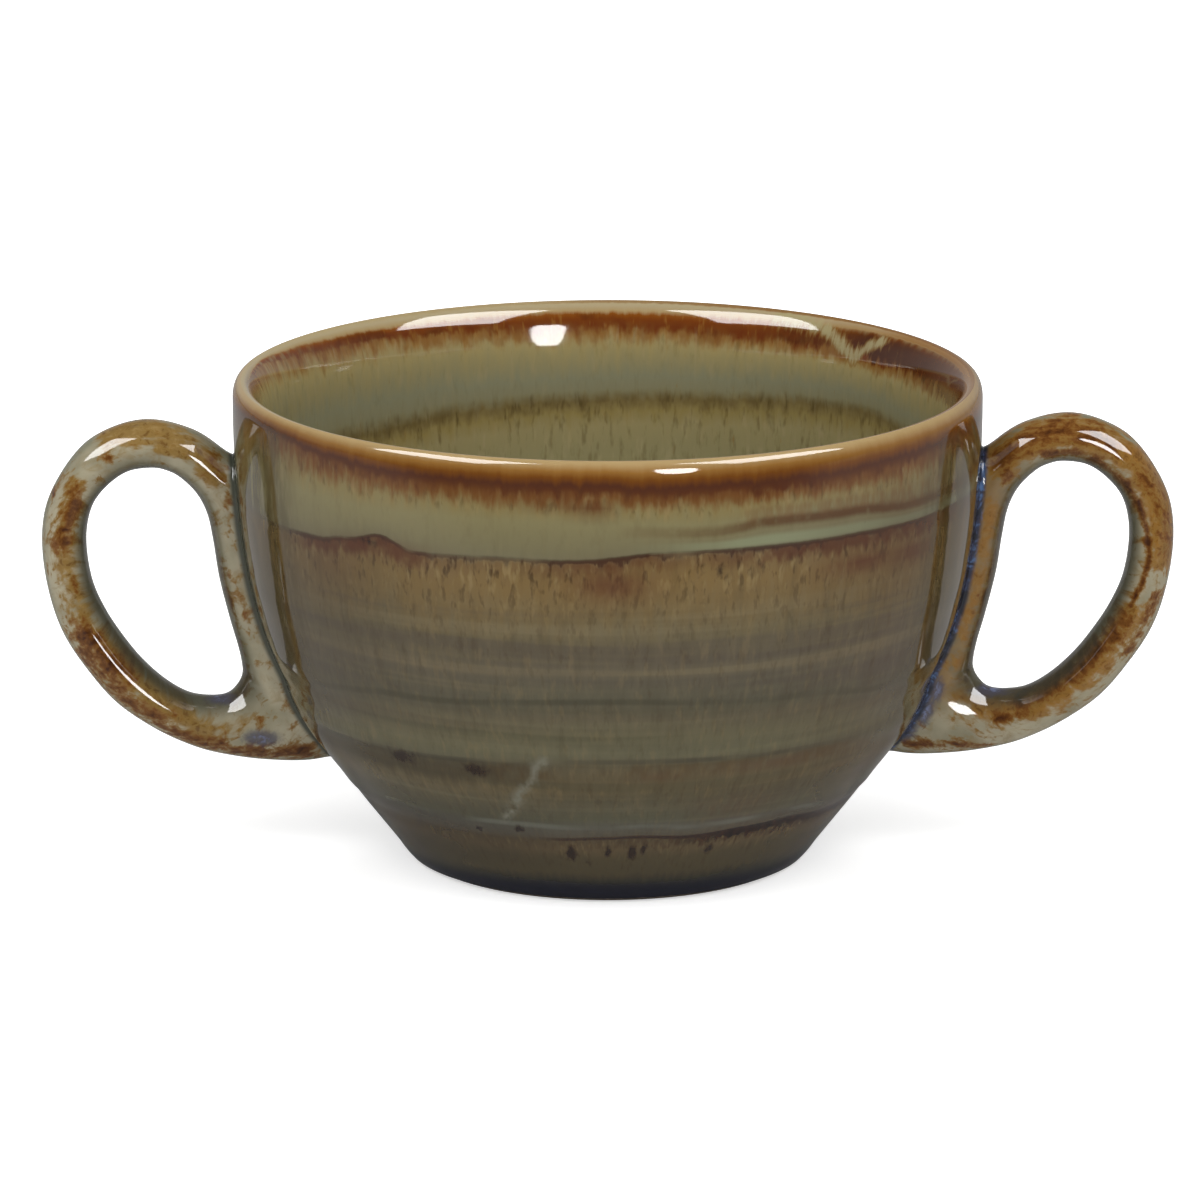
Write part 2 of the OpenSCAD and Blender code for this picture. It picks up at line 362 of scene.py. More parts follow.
def side(base, top, shares, roll_rows, wall_rows):
    """The wall from the end of the straight flare to just under the lip."""
    s = Vector((base.x + shares[0] * (top.x - base.x), base.y + shares[1] * (top.y - base.y)))
    up = Vector((LEAN * (top.x - s.x), top.y - s.y)).normalized()
    low_end = s - SHOULDER_ROLL * (s - base).normalized()
    high_end = s + SHOULDER_ROLL * up
    rise = top.y - high_end.y
    pull = high_end + LOW_PULL * rise * up
    plumb = Vector((top.x, top.y - HIGH_PULL * rise))
    rows = [bend(low_end, s, high_end, i / roll_rows) for i in range(roll_rows)]
    return rows + [cubic(high_end, pull, plumb, top, i / wall_rows) for i in range(wall_rows + 1)]


def coated(run, thickness):
    """The same run, moved out by a layer's thickness."""
    out = []
    for i, p in enumerate(run):
        along = (run[min(i + 1, len(run) - 1)] - run[max(i - 1, 0)]).normalized()
        out.append(p + thickness * Vector((along.y, -along.x)))
    return out


print("halfway from 2 to 4 is", between(2, 4, 0.5))

# %% Profile of the wall
foot = Vector((FOOT_R, 0))
outer_rim = Vector((CLAY_R, CLAY_H - UPRIGHT_BELOW_LIP))
outer_wall = side(foot, outer_rim, OUTER_SHOULDER, roll_rows=12, wall_rows=62)
flare = (outer_wall[0] - foot).normalized()
flare_start = foot + FOOT_BARE_H / flare.y * flare
flare_rows = [between(flare_start, outer_wall[0], t) for t in np.arange(FLARE_ROWS) / FLARE_ROWS]
lip_out_w = LIP_TOP_IN - GLAZE_T
lip_in_w = WALL_T - LIP_TOP_IN - GLAZE_T
lip_middle = CLAY_R - lip_out_w
upright = [between(outer_rim, Vector((CLAY_R, CLAY_H - LIP_OUT_H)), t) for t in (1 / 3, 2 / 3)]
lip_outside = [
    Vector((lip_middle + lip_out_w * math.cos(a), CLAY_H - LIP_OUT_H + LIP_OUT_H * math.sin(a)))
    for a in (math.pi / 2 * math.sin(math.pi / 2 * i / LIP_OUT_ROWS) for i in range(LIP_OUT_ROWS + 1))]
lip_inside = [
    Vector((lip_middle - lip_in_w * math.sin(a), CLAY_H - LIP_IN_H + LIP_IN_H * math.cos(a)))
    for a in (math.pi / 2 * (1 - math.cos(math.pi / 2 * i / LIP_IN_ROWS)) for i in range(LIP_IN_ROWS + 1))]
inner_foot = Vector((FOOT_R, FLOOR_Z))
inner_rim = Vector((lip_middle - lip_in_w, CLAY_H - LIP_IN_H))
inner_wall = side(inner_foot, inner_rim, INNER_SHOULDER, roll_rows=10, wall_rows=46)
inner_flare = (inner_wall[0] - inner_foot).normalized()
roll_in = min(FLOOR_ROLL, (inner_wall[0] - inner_foot).length)
floor_turn = [
    bend(inner_foot + roll_in * inner_flare, inner_foot, inner_foot - Vector((roll_in, 0)), i / TURN_ROWS)
    for i in range(TURN_ROWS + 1)]
floor_flat = [Vector((floor_turn[-1].x * (1 - i / FLAT_ROWS), FLOOR_Z)) for i in range(1, FLAT_ROWS + 1)]

clay_outside = flare_rows + outer_wall + upright + lip_outside
clay_inside = lip_inside + inner_wall[-2::-1] + floor_turn + floor_flat
clay_line = clay_outside + clay_inside[1:]
glaze_line = coated(clay_line, GLAZE_T)
crest_row = len(clay_outside) - 1
outside_line = glaze_line[:crest_row + 1]
inside_line = glaze_line[crest_row:]
inside_line[-1].x = 0

cad_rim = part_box("outside_glaze")[1]
rim_r = max(p.x for p in outside_line)
print("rim radius here", round(rim_r, 2), "and in the CAD", round(cad_rim.x / MM, 2))
print("lip height here", round(outside_line[-1].y, 2), "and in the CAD", round(cad_rim.z / MM, 2))

# %% Radius and slope of the finished wall at a height
wall_heights = np.array([p.y for p in outside_line])
wall_radii = np.array([p.x for p in outside_line])
wall_slopes = np.gradient(wall_radii, wall_heights)


def wall_r(z):
    """The wall's radius at a height."""
    return np.interp(z, wall_heights, wall_radii)


def off_the_wall(p):
    """How far a point in millimetres stands out from the wall, and which way out is."""
    r = math.hypot(p.x, p.y)
    slope = float(np.interp(p.z, wall_heights, wall_slopes))
    out = Vector((p.x / r, p.y / r, -slope)).normalized()
    return (r - float(wall_r(p.z))) * out.to_2d().length, out


print("the wall at half height has a radius of", round(float(wall_r(34)), 1), "mm")

# %% [markdown]
# ## How the bands lie
#
# The two glazes met in bands round the bowl. A turning wheel would make them level, but the dipping hand
# and the kiln made them wander by a millimetre or two. One way to draw them is to paint each band by
# itself. Here each point of the wall gets a second height instead, its lay, at which the bands are level,
# so that all colour and relief can follow the same wander. The knots below are where the bands run, counted
# in degrees from the front.

# %% Lay of the bands outside
OUTER_LEVELS = [0, 2.6, 11.8, 24.6, 33.5, 55.4, 59, 64, BOWL_H]
navy_top = [(-60, 2), (-30, 2.6), (-12, 3), (25, 2.7), (60, 2.2), (180, 2.6)]
ledge = [(-60, 11.2), (-30, 11.2), (-12, 11.4), (0, 11.8), (6, 12.0), (18, 11.5), (30, 11.9), (42, 12.1),
         (54, 11.4), (65, 11.6), (150, 12.2), (-130, 11.6)]
green_ridge = [(-60, 23.5), (-40, 23.8), (0, 25.1), (42, 24.7), (67, 22.5), (130, 24), (-120, 24.8)]
faint_ridge = [(-60, 30.5), (-36, 32.5), (0, 34.1), (33, 32.9), (52, 31.1), (120, 33), (-130, 32)]
dark_line = [(-60, 53.6), (-49, 53.9), (-43, 54.9), (-36, 56.3), (-30, 54.5), (-16, 55), (-6, 54.9),
             (9, 56.1), (38, 55.9), (59, 55.7), (100, 54.4), (150, 55.6), (-150, 54.2), (-100, 55)]
smear = [(-60, 58), (0, 59.2), (16, 58.6), (25, 59.6), (38, 59.3), (54, 57.9), (120, 59), (-120, 58.6)]
maroon = [(-60, 66.3), (-46, 65.1), (-36, 64.3), (-16, 64.4), (0, 64.3), (5, 63.6), (14, 63.8), (33, 63.7),
          (57, 64.2), (110, 63.4), (160, 64.3), (-150, 63.6), (-100, 64.6)]


def around(knots, degrees):
    """A value that runs smoothly round the bowl through its knots."""
    turns, values = np.array(sorted((a % 360, v) for a, v in knots)).T
    turns = np.concatenate([turns[-1:] - 360, turns, turns[:1] + 360])
    values = np.concatenate([values[-1:], values, values[:1]])
    t = np.mod(degrees, 360)
    i = np.clip(np.searchsorted(turns, t, side="right") - 1, 0, len(turns) - 2)
    share = (t - turns[i]) / (turns[i + 1] - turns[i])
    return between(values[i], values[i + 1], share * share * (3 - 2 * share))


def lay_of(z, degrees, levels, lines):
    """The height at which the bands are level."""
    lay = np.empty(len(z))
    heights = np.stack([around(k, degrees) if isinstance(k, list) else np.full(len(z), k) for k in lines], 1)
    for i in range(len(z)):
        lay[i] = np.interp(z[i], heights[i], levels)
    return lay


outer_bands = [0, navy_top, ledge, green_ridge, faint_ridge, dark_line, smear, maroon, BOWL_H]
print("the dark line in front lies at", float(around(dark_line, 0)), "mm")

# %% [markdown]
# ## The outside coat
#
# Fired glaze is a skin of coloured glass, about a third of a millimetre thick. It could be the CAD solid
# with a material on it, but real glaze also has relief: it is thin on each ridge that the turning left,
# thick below it, and it rolls up where it ends above the foot. So the coat is spun anew from the profile
# with closer rows, and the relief is worked into its points before the sheet gets its thickness.

# %% Spin a coat
COAT_TURNS = 360


def spun(line, turns):
    """A sheet turned round the axis from a line in millimetres."""
    form = bmesh.new()
    points = [form.verts.new((p.x, 0, p.y)) for p in line]
    edges = [form.edges.new(pair) for pair in zip(points, points[1:])]
    bmesh.ops.spin(form, geom=points + edges, cent=(0, 0, 0), axis=(0, 0, 1), angle=2 * math.pi, steps=turns,
                   use_merge=True)
    bmesh.ops.remove_doubles(form, verts=form.verts, dist=0.0005)
    bmesh.ops.recalc_face_normals(form, faces=form.faces)
    return form


def angles_of(x, y):
    """Degrees from the front, counted to the right."""
    return np.degrees(np.arctan2(x, -y))


outside_form = spun(outside_line, COAT_TURNS)
middle_face = max(outside_form.faces, key=lambda f: f.calc_center_median().y)
if middle_face.normal.y < 0:
    bmesh.ops.reverse_faces(outside_form, faces=outside_form.faces)
print("outside coat:", len(outside_form.verts), "points")

# %% Work the relief into the outside
RIDGES = [(12.2, 0.12, 1.0), (24.4, 0.1, 1.1), (33.3, 0.08, 1.3), (55.2, 0.04, 0.7), (41, 0.03, 2.0)]
FOOT_ROLL_H, FOOT_ROLL_Z, FOOT_ROLL_W = 0.12, 1.7, 0.8
WAVER, WAVER_W, WAVER_H = 0.035, 14, 5
LIP_CALM = 4


def ridge(lay, level, height, width):
    """Glaze thin over an edge of the clay and thick below it."""
    above = np.exp(-((lay - level - 0.9 * width) / width) ** 2)
    below = np.exp(-((lay - level + 0.7 * width) / width) ** 2)
    return height * (above - below)


def clear_of_lugs(degrees, start=9, end=17):
    """0 at a lug, 1 well away from it."""
    from_lug = np.abs(np.abs(degrees) - 90)
    t = np.clip((from_lug - start) / (end - start), 0, 1)
    return t * t * (3 - 2 * t)


points = list(outside_form.verts)
x, y, z = np.array([v.co for v in points]).T
degrees = angles_of(x, y)
lay = lay_of(z, degrees, OUTER_LEVELS, outer_bands)
relief = sum(ridge(lay, *drawn) for drawn in RIDGES)
roll = np.exp(-((z - FOOT_ROLL_Z) / FOOT_ROLL_W) ** 2) * FOOT_ROLL_H
lip_fade = np.clip((BOWL_H - z) / LIP_CALM, 0, 1)
for v, push, fade, rolled in zip(points, relief, clear_of_lugs(degrees) * lip_fade, roll):
    waver = WAVER * noise.noise(Vector((v.co.x / WAVER_W, v.co.y / WAVER_W, v.co.z / WAVER_H)))
    out = Vector((v.co.x, v.co.y, 0)).normalized()
    v.co += out * ((push + waver) * fade + rolled)
print("relief from", round(float(relief.min()), 2), "to", round(float(relief.max()), 2), "mm")

# %% [markdown]
# ## The ears
#
# Each lug is a closed ring, like an ear, whose inner leg lies down the wall. It could be built from
# sections put one after another, but a ring is already the right form: a circle is spun into a ring, and
# then each of its points is carried to its place on the drawn ear. The stations are the ones of the CAD
# model, as shares of the lug's height and reach: the outer edge, the edge of the finger hole, and the
# width.

# %% Stations of the ear
EAR_STATIONS = np.array([
    [0.00, 0.82, 0.085, 0.89, 1.04],
    [0.195, 0.94, 0.20, 0.96, 1.03],
    [0.335, 0.985, 0.30, 0.99, 1.02],
    [0.48, 1.00, 0.41, 1.00, 1.00],
    [0.62, 0.98, 0.585, 0.985, 0.98],
    [0.755, 0.93, 0.74, 0.93, 0.97],
    [0.87, 0.84, 0.87, 0.85, 0.96],
    [0.95, 0.74, 0.945, 0.75, 0.95],
    [0.988, 0.625, 0.98, 0.635, 0.95],
    [1.00, 0.49, 0.985, 0.50, 0.95],
    [0.993, 0.37, 0.95, 0.385, 0.95],
    [0.957, 0.26, 0.895, 0.28, 0.96],
    [0.89, 0.17, 0.825, 0.17, 0.97],
    [0.805, 0.10, 0.715, 0.075, 0.98],
    [0.71, 0.05, 0.575, 0.015, 1.00],
    [0.60, 0.02, 0.42, 0.00, 1.01],
    [0.415, 0.00, 0.28, 0.01, 1.03],
    [0.19, 0.00, 0.17, 0.05, 1.05],
    [0.00, 0.04, 0.10, 0.10, 1.06],
    [0.00, 0.14, 0.06, 0.155, 1.05],
    [0.00, 0.26, 0.03, 0.23, 1.02],
    [0.00, 0.38, 0.015, 0.345, 1.00],
    [0.00, 0.52, 0.01, 0.52, 1.00],
    [0.00, 0.66, 0.003, 0.68, 1.01],
    [0.00, 0.76, 0.02, 0.80, 1.03]])
LUG_REACH = 29.0
LUG_FOOT = 13.6
LUG_BELOW_LIP = 5.7
LUG_H = BOWL_H - LUG_BELOW_LIP - LUG_FOOT
ROOT_DEPTH = 3.0
LEG_T = 4.2
WEB_T = 9.2
STRAP_T, STRAP_TOP_T = 6.3, 6.8
HOLE_W = LUG_REACH - LEG_T - STRAP_T
HOLE_H = LUG_H - STRAP_TOP_T - WEB_T
STRAP_W = 9.0
SWELL, SWELL_SIZE = 0.08, 7
RINGS_PER_STATION = 9
EAR_RINGS = RINGS_PER_STATION * len(EAR_STATIONS)
EAR_SIDES = 72


def smooth_round(rows):
    """A closed smooth run through the stations' values."""
    before, after, later = np.roll(rows, 1, 0), np.roll(rows, -1, 0), np.roll(rows, -2, 0)
    pull, push = (after - before) / 6, (later - rows) / 6
    steps = [cubic(rows, rows + pull, after - push, after, k / RINGS_PER_STATION)
             for k in range(RINGS_PER_STATION)]
    return np.stack(steps, 1).reshape(-1, rows.shape[1])


outer_z = LUG_FOOT + EAR_STATIONS[:, 1] * LUG_H
outer_x = wall_r(outer_z) - ROOT_DEPTH + EAR_STATIONS[:, 0] * (LUG_REACH + ROOT_DEPTH)
hole_z = LUG_FOOT + WEB_T + EAR_STATIONS[:, 3] * HOLE_H
hole_x = wall_r(hole_z) + LEG_T + EAR_STATIONS[:, 2] * HOLE_W
ear_outer = smooth_round(np.stack([outer_x, outer_z], 1))
ear_hole = smooth_round(np.stack([hole_x, hole_z], 1))
ear_width = smooth_round(EAR_STATIONS[:, 4:5] * STRAP_W)[:, 0]
print("ear of", EAR_RINGS, "rings reaches", round(float(ear_outer[:, 0].max()), 2), "mm from the axis")

# %% Spin a ring and carry it to the ear
def ear_point(ring, angle):
    """A point of the ear's skin: cos is +1 on its outer edge and -1 at the finger hole."""
    outer, hole = Vector(ear_outer[ring]), Vector(ear_hole[ring])
    middle, half = (outer + hole) / 2, (outer - hole) / 2
    flat = middle + math.cos(angle) * half
    return Vector((flat.x, ear_width[ring] / 2 * math.sin(angle), flat.y))


def ear_form(mirror, lift):
    """A whole ear, on the left where mirror is -1, and moved up by lift."""
    form = bmesh.new()
    across = form.verts.layers.float.new("across")
    circle = bmesh.ops.create_circle(form, segments=EAR_SIDES, radius=0.3)["verts"]
    bmesh.ops.rotate(form, verts=circle, matrix=Matrix.Rotation(math.pi / 2, 3, "X"))
    bmesh.ops.translate(form, verts=circle, vec=(1, 0, 0))
    bmesh.ops.spin(form, geom=circle + form.edges[:], cent=(0, 0, 0), axis=(0, 0, 1), angle=2 * math.pi,
                   steps=EAR_RINGS, use_merge=True)
    for v in form.verts:
        ring = round(math.atan2(v.co.y, v.co.x) / (2 * math.pi) * EAR_RINGS) % EAR_RINGS
        side_angle = math.atan2(v.co.z, math.hypot(v.co.x, v.co.y) - 1)
        p = ear_point(ring, side_angle)
        swell = SWELL * noise.noise(p / SWELL_SIZE + Vector((mirror, 3, 0)))
        v.co = Vector((mirror * p.x, p.y * (1 + swell / 4), p.z + lift))
        v[across] = math.cos(side_angle)
    bmesh.ops.recalc_face_normals(form, faces=form.faces)
    return form


left_ear = ear_form(mirror=-1, lift=-0.5)
right_ear = ear_form(mirror=1, lift=0.5)
print("ear points:", len(left_ear.verts))

# %% [markdown]
# ## Melting a lug into the wall
#
# Where a lug meets the wall, the glaze pools into a soft curve. A boolean union would give a hard crease
# there. So the ear is cut where it enters the wall, its edge is drawn out along the wall as a skirt, and
# then the points near the crease are moved out to a surface that blends the two. The blend is the smooth
# minimum of two distances: the one from the wall and the one from the ear. The skirt's own edge dips under
# the bowl's coat.

# %% Cut an ear at the wall
MELT = 1.3
LEAST_WAY = 0.2
SKIRT_STEPS = 9
SKIRT_STEP = 0.28
SKIRT_DIP = 0.3
BLEND_ROUNDS = 8
SMOOTH_ROUNDS = 3


def cut_at_wall(form):
    """Puts the points nearest the wall onto it, and takes away what is behind it."""
    depth = {v: off_the_wall(v.co)[0] for v in form.verts}
    onto = {}
    for e in form.edges:
        near, far = sorted(e.verts, key=lambda v: abs(depth[v]))
        if (depth[near] < 0) != (depth[far] < 0):
            place = near.co.lerp(far.co, depth[near] / (depth[near] - depth[far]))
            move = (place - near.co).length
            if near not in onto or move < onto[near][0]:
                onto[near] = (move, place)
    for v, (_, place) in onto.items():
        v.co = place
    bmesh.ops.connect_verts(form, verts=list(onto))
    behind = [v for v in form.verts if v not in onto and depth[v] < 0]
    bmesh.ops.delete(form, geom=behind, context="VERTS")


print("glaze melts over", MELT, "mm")

# %% Draw a skirt along the wall
def off_the_ear(p, skin, close=0.02):
    """How far a point stands out from the ear, and which way out is."""
    near, normal, _, gap = skin.find_nearest(p)
    if gap < close:
        return (p - near).dot(normal), normal
    out = (p - near).normalized()
    return (gap, out) if out.dot(normal) > 0 else (-gap, -out)


def draw_skirt(form, skin):
    """Draws the cut edge out along the wall."""
    edge = [e for e in form.edges if e.is_boundary]
    for _ in range(SKIRT_STEPS):
        drawn = bmesh.ops.extrude_edge_only(form, edges=edge)["geom"]
        fresh = [g for g in drawn if isinstance(g, bmesh.types.BMVert)]
        fresh_set = set(fresh)
        edge = [g for g in drawn if isinstance(g, bmesh.types.BMEdge) and fresh_set.issuperset(g.verts)]
        for v in fresh:
            away = off_the_ear(v.co, skin)[1]
            out = off_the_wall(v.co)[1]
            v.co += SKIRT_STEP * (away - away.dot(out) * out).normalized()
            rise, out = off_the_wall(v.co)
            v.co -= rise * out


print("the skirt is drawn out by", round(SKIRT_STEPS * SKIRT_STEP, 2), "mm")

# %% Melt the ears into the wall
def blended(p, skin):
    """The nearest place to p on the surface that blends the ear into the wall."""
    for _ in range(BLEND_ROUNDS):
        from_wall, wall_out = off_the_wall(p)
        from_ear, ear_out = off_the_ear(p, skin)
        share = max(MELT - abs(from_ear - from_wall), 0) / MELT
        if share == 0:
            return p
        gap = min(from_ear, from_wall) - share * share * MELT / 4
        lean = share / 2
        if from_ear < from_wall:
            way = ear_out * (1 - lean) + wall_out * lean
        else:
            way = wall_out * (1 - lean) + ear_out * lean
        p = p - gap * way / max(way.length_squared, LEAST_WAY)
    return p


def melt_into_wall(form):
    """Gives an ear its place in the wall; what comes back is its skin from before, to measure from."""
    skin = BVHTree.FromBMesh(form)
    cut_at_wall(form)
    draw_skirt(form, skin)
    for v in form.verts:
        if off_the_wall(v.co)[0] < 2 * MELT:
            v.co = blended(v.co, skin)
    for _ in range(SMOOTH_ROUNDS):
        soft = [v for v in form.verts
                if not v.is_boundary and off_the_wall(v.co)[0] < MELT and off_the_ear(v.co, skin)[0] < MELT]
        bmesh.ops.smooth_vert(form, verts=soft, factor=0.5,
                              use_axis_x=True, use_axis_y=True, use_axis_z=True)
    skirt_w = SKIRT_STEPS * SKIRT_STEP - MELT
    for v in form.verts:
        from_ear = off_the_ear(v.co, skin)[0]
        if from_ear > MELT:
            v.co -= SKIRT_DIP * min((from_ear - MELT) / skirt_w, 1) ** 2 * off_the_wall(v.co)[1]
    bmesh.ops.recalc_face_normals(form, faces=form.faces)
    return skin


left_skin = melt_into_wall(left_ear)
right_skin = melt_into_wall(right_ear)
print("melted ears of", len(left_ear.verts), "and", len(right_ear.verts), "points")

# %% [markdown]
# The outside coat doesn't go on under the lugs, because the lugs were stuck to bare clay. The faces well
# inside each lug's foot are taken out, and the lug's own coat hides the edge.

# %% Open the outside coat under the lugs
HIDDEN_DEPTH = 0.6


def lug_gap(co):
    """Distance in millimetres from the nearer ear, below zero inside it."""
    skin = left_skin if co.x < 0 else right_skin
    return off_the_ear(co, skin)[0]


def near_lugs(co):
    """A rough test that spares most points the exact one."""
    return abs(co.y) < 12 and abs(co.x) > 20 and 8 < co.z < 68


under = [f for f in outside_form.faces
         if near_lugs(f.calc_center_median()) and lug_gap(f.calc_center_median()) < -HIDDEN_DEPTH]
bmesh.ops.delete(outside_form, geom=under, context="FACES")
print("faces taken out under the lugs:", len(under))

# %% The inside coat
INSIDE_WAVER, INSIDE_WAVER_H = 0.05, 4
NOISE_SHIFT = 9
INSIDE_CALM, MIDDLE_CALM = 6, 10

inside_form = spun(inside_line, COAT_TURNS)
floor_face = min(inside_form.faces, key=lambda f: f.calc_center_median().z)
if floor_face.normal.z < 0:
    bmesh.ops.reverse_faces(inside_form, faces=inside_form.faces)
for v in inside_form.verts:
    lip_fade = min(max((BOWL_H - v.co.z) / INSIDE_CALM, 0), 1)
    fade = lip_fade * min(math.hypot(v.co.x, v.co.y) / MIDDLE_CALM, 1)
    at = Vector((v.co.x / WAVER_W, v.co.y / WAVER_W, v.co.z / INSIDE_WAVER_H + NOISE_SHIFT))
    waver = INSIDE_WAVER * noise.noise(at)
    v.co -= Vector((v.co.x, v.co.y, 0)).normalized() * waver * fade
print("inside coat:", len(inside_form.verts), "points")

# %% [markdown]
# ## From form to piece
#
# Every coat is finished the same way: the sheet gets its thickness inwards, smooth shading with sharp rims,
# and attributes that the glaze colours follow. Then it rides on the bowl's body and stands for its CAD
# node.

# %% Give a sheet its thickness and make it a piece
SHARP_ANGLE = math.radians(40)


def thicken(form):
    """Gives a sheet the glaze's thickness, towards the clay."""
    form.normal_update()
    bmesh.ops.solidify(form, geom=form.faces[:], thickness=GLAZE_T)


def piece_from(form, name, glaze, node, traits):
    """Makes a piece of a form in millimetres; traits are its attributes by name."""
    places = np.array([v.co for v in form.verts])
    bmesh.ops.scale(form, verts=form.verts, vec=(MM, MM, MM))
    piece = object_from(form, name)
    mesh = piece.data
    for trait, values in traits(places).items():
        kind, field = ("FLOAT_VECTOR", "vector") if values.ndim == 2 else ("FLOAT", "value")
        layer = mesh.attributes.new(trait, kind, "POINT")
        layer.data.foreach_set(field, values.astype(np.float32).ravel())
    mesh.shade_smooth()
    mesh.set_sharp_from_angle(angle=SHARP_ANGLE)
    mesh.materials.append(glaze)
    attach(piece, "root")
    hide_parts(node)
    print(name, "has", len(mesh.polygons), "faces; box",
          [round(v, 2) for v in np.ptp(places, axis=0)], "mm")


print("ready to make pieces")

# %% [markdown]
# ## How the glaze lies
#
# Glaze runs downwards, so its streaks follow the wall, not the room. Each point therefore keeps where it is
# on the unrolled wall: round the bowl at one fixed radius, and down the profile from the lip. Noise that is
# read from there and stretched downwards looks like runs. The seam trait tells how far a lug is.

# %% Traits of the bowl's coats
UNROLL_R = 45.0
STROKE_R = 50
NO_LUG_NEAR = 20.0
steps = [(b - a).length for a, b in zip(outside_line, outside_line[1:])]
run_lengths = np.cumsum([0] + steps)
outside_run = run_lengths - run_lengths[-1]


def unrolled(places, run):
    """Where points are on the unrolled wall: round it, and along the run that is given."""
    x, y = places[:, 0], places[:, 1]
    r = np.maximum(np.hypot(x, y), 1e-6)
    return np.stack([UNROLL_R * x / r, UNROLL_R * y / r, run], 1)


def spots(x, y, marks):
    """Soft marks, each at x, y with two radii and a strength."""
    out = np.zeros(len(x))
    for mx, my, rx, ry, strength in marks:
        out = np.maximum(out, strength * np.exp(-((x - mx) / rx) ** 2 - ((y - my) / ry) ** 2))
    return out


def seam_of(places):
    """How far each point is from a lug, in millimetres."""
    far = np.full(len(places), NO_LUG_NEAR)
    for i, p in enumerate(places):
        co = Vector(p)
        if near_lugs(co):
            far[i] = lug_gap(co)
    return far


def off_line(x, z, line):
    """How far each point is from a line through (x, z) places."""
    nearest = np.full(len(x), 99.0)
    for (x0, z0), (x1, z1) in zip(line, line[1:]):
        way_x, way_z = x1 - x0, z1 - z0
        t = np.clip(((x - x0) * way_x + (z - z0) * way_z) / (way_x ** 2 + way_z ** 2), 0, 1)
        nearest = np.minimum(nearest, np.hypot(x - x0 - t * way_x, z - z0 - t * way_z))
    return nearest


def stroke(degrees, z, line, half_w):
    """A soft stroke through (degrees, height) pairs: 1 on it, fading over its half width in millimetres."""
    x = np.radians(np.mod(degrees + 180, 360) - 180) * STROKE_R
    unrolled_line = [(math.radians(a) * STROKE_R, height) for a, height in line]
    return np.exp(-(off_line(x, z, unrolled_line) / half_w) ** 2)


def brushed(x, z, strokes):
    """Glaze on a lug, from strokes of (line, half width, strength); the strongest holds."""
    out = np.zeros(len(x))
    for line, half_w, strength in strokes:
        out = np.maximum(out, strength * np.exp(-(off_line(x, z, line) / half_w) ** 2))
    return out


print("marks and strokes ready")

# %% Where the outside's marks and uneven bands are
under_line = [(-66, 0), (-56, 0.3), (-50, 0.9), (-40, 1), (-31, 0.8), (-26, 0.15), (-14, 0.15), (-3, 0.6),
              (5, 0.6), (12, 0.25), (20, 0.5), (28, 0.9), (58, 1), (75, 0.7), (110, 0.2), (150, 0.8),
              (180, 0.3), (-150, 0.7), (-110, 0.3)]
brown_stripe = [(-60, 0), (0, 0), (6, 0.25), (15, 0.45), (24, 0.9), (40, 1), (60, 0.9), (80, 0.6), (110, 0.1),
                (145, 0.6), (180, 0.1)]
ledge_shade = [(-66, 0.1), (-20, 0.08), (-9, 0.3), (10, 0.35), (22, 0.5), (32, 0.9), (50, 1), (66, 0.9),
               (110, 0.4), (160, 0.8), (-140, 0.2), (-100, 0.5)]
brown_marks = [(-8, 63.0, 5, 1.1, 0.6), (-2.5, 62.2, 3.5, 1.0, 0.9), (0.5, 51.6, 6, 2.4, 0.8),
               (-47, 51, 6, 3, 0.4), (42, 51.6, 7, 1.4, 1), (54, 51.2, 7, 1.5, 1), (-36, 54.2, 8, 1.3, 0.7),
               (26, 16, 9, 3, 0.3), (31, 23.1, 11, 0.9, 0.4), (9, 22.6, 5, 0.9, 0.3)]
dark_marks = [(-8.2, 8.9, 1.2, 1.4, 1), (0.1, 9.5, 0.9, 1.2, 0.9), (5.5, 9.2, 1.0, 1.4, 1),
              (8.1, 9.8, 0.8, 1.1, 0.9), (23.7, 9.0, 1.3, 1.0, 0.8), (-4.5, 7.4, 1.0, 0.8, 0.5),
              (-18.8, 12.9, 1.3, 0.6, 0.9), (-28.4, 12.1, 1.0, 0.5, 0.9), (-45, 11.8, 1.6, 0.5, 0.6),
              (-39.0, 23.0, 3.4, 1.3, 0.7), (-24.0, 22.6, 3.0, 1.1, 0.75), (14, 53.6, 0.4, 1.0, 0.6),
              (17, 53.2, 0.4, 1.1, 0.6), (19.4, 53.8, 0.4, 1.0, 0.6), (-38.2, 55.2, 2.6, 0.6, 0.6)]
# A pale streak that runs slantwise down the front wall, left of the middle.
pale_diagonal = [(-11.2, 24.8), (-12.6, 23.9), (-13.4, 21.9), (-15.2, 20.4), (-17.0, 18.6), (-18.4, 16.8),
                (-21.4, 14.3)]
pale_diagonal_widths = [14, 16, 19, 21, 22.5, 24.5], [0.45, 0.7, 0.95, 0.75, 0.4, 0.8]
outside_sides = {
    "left_side": [(-120, 0.8), (-60, 1), (-25, 0.7), (5, 0.15), (40, 0), (120, 0), (180, 0.5)],
    "right_side": [(24, 0), (40, 0.5), (50, 1), (110, 1), (140, 0)],
    "crest_back": [(-120, 0), (-150, 0.5), (180, 0.9), (140, 0.9), (100, 0.6), (60, 0)],
    "beside_lug": [(-128, 0), (-112, 1), (-62, 1), (-52, 0), (52, 0), (62, 1), (112, 1), (128, 0)],
}


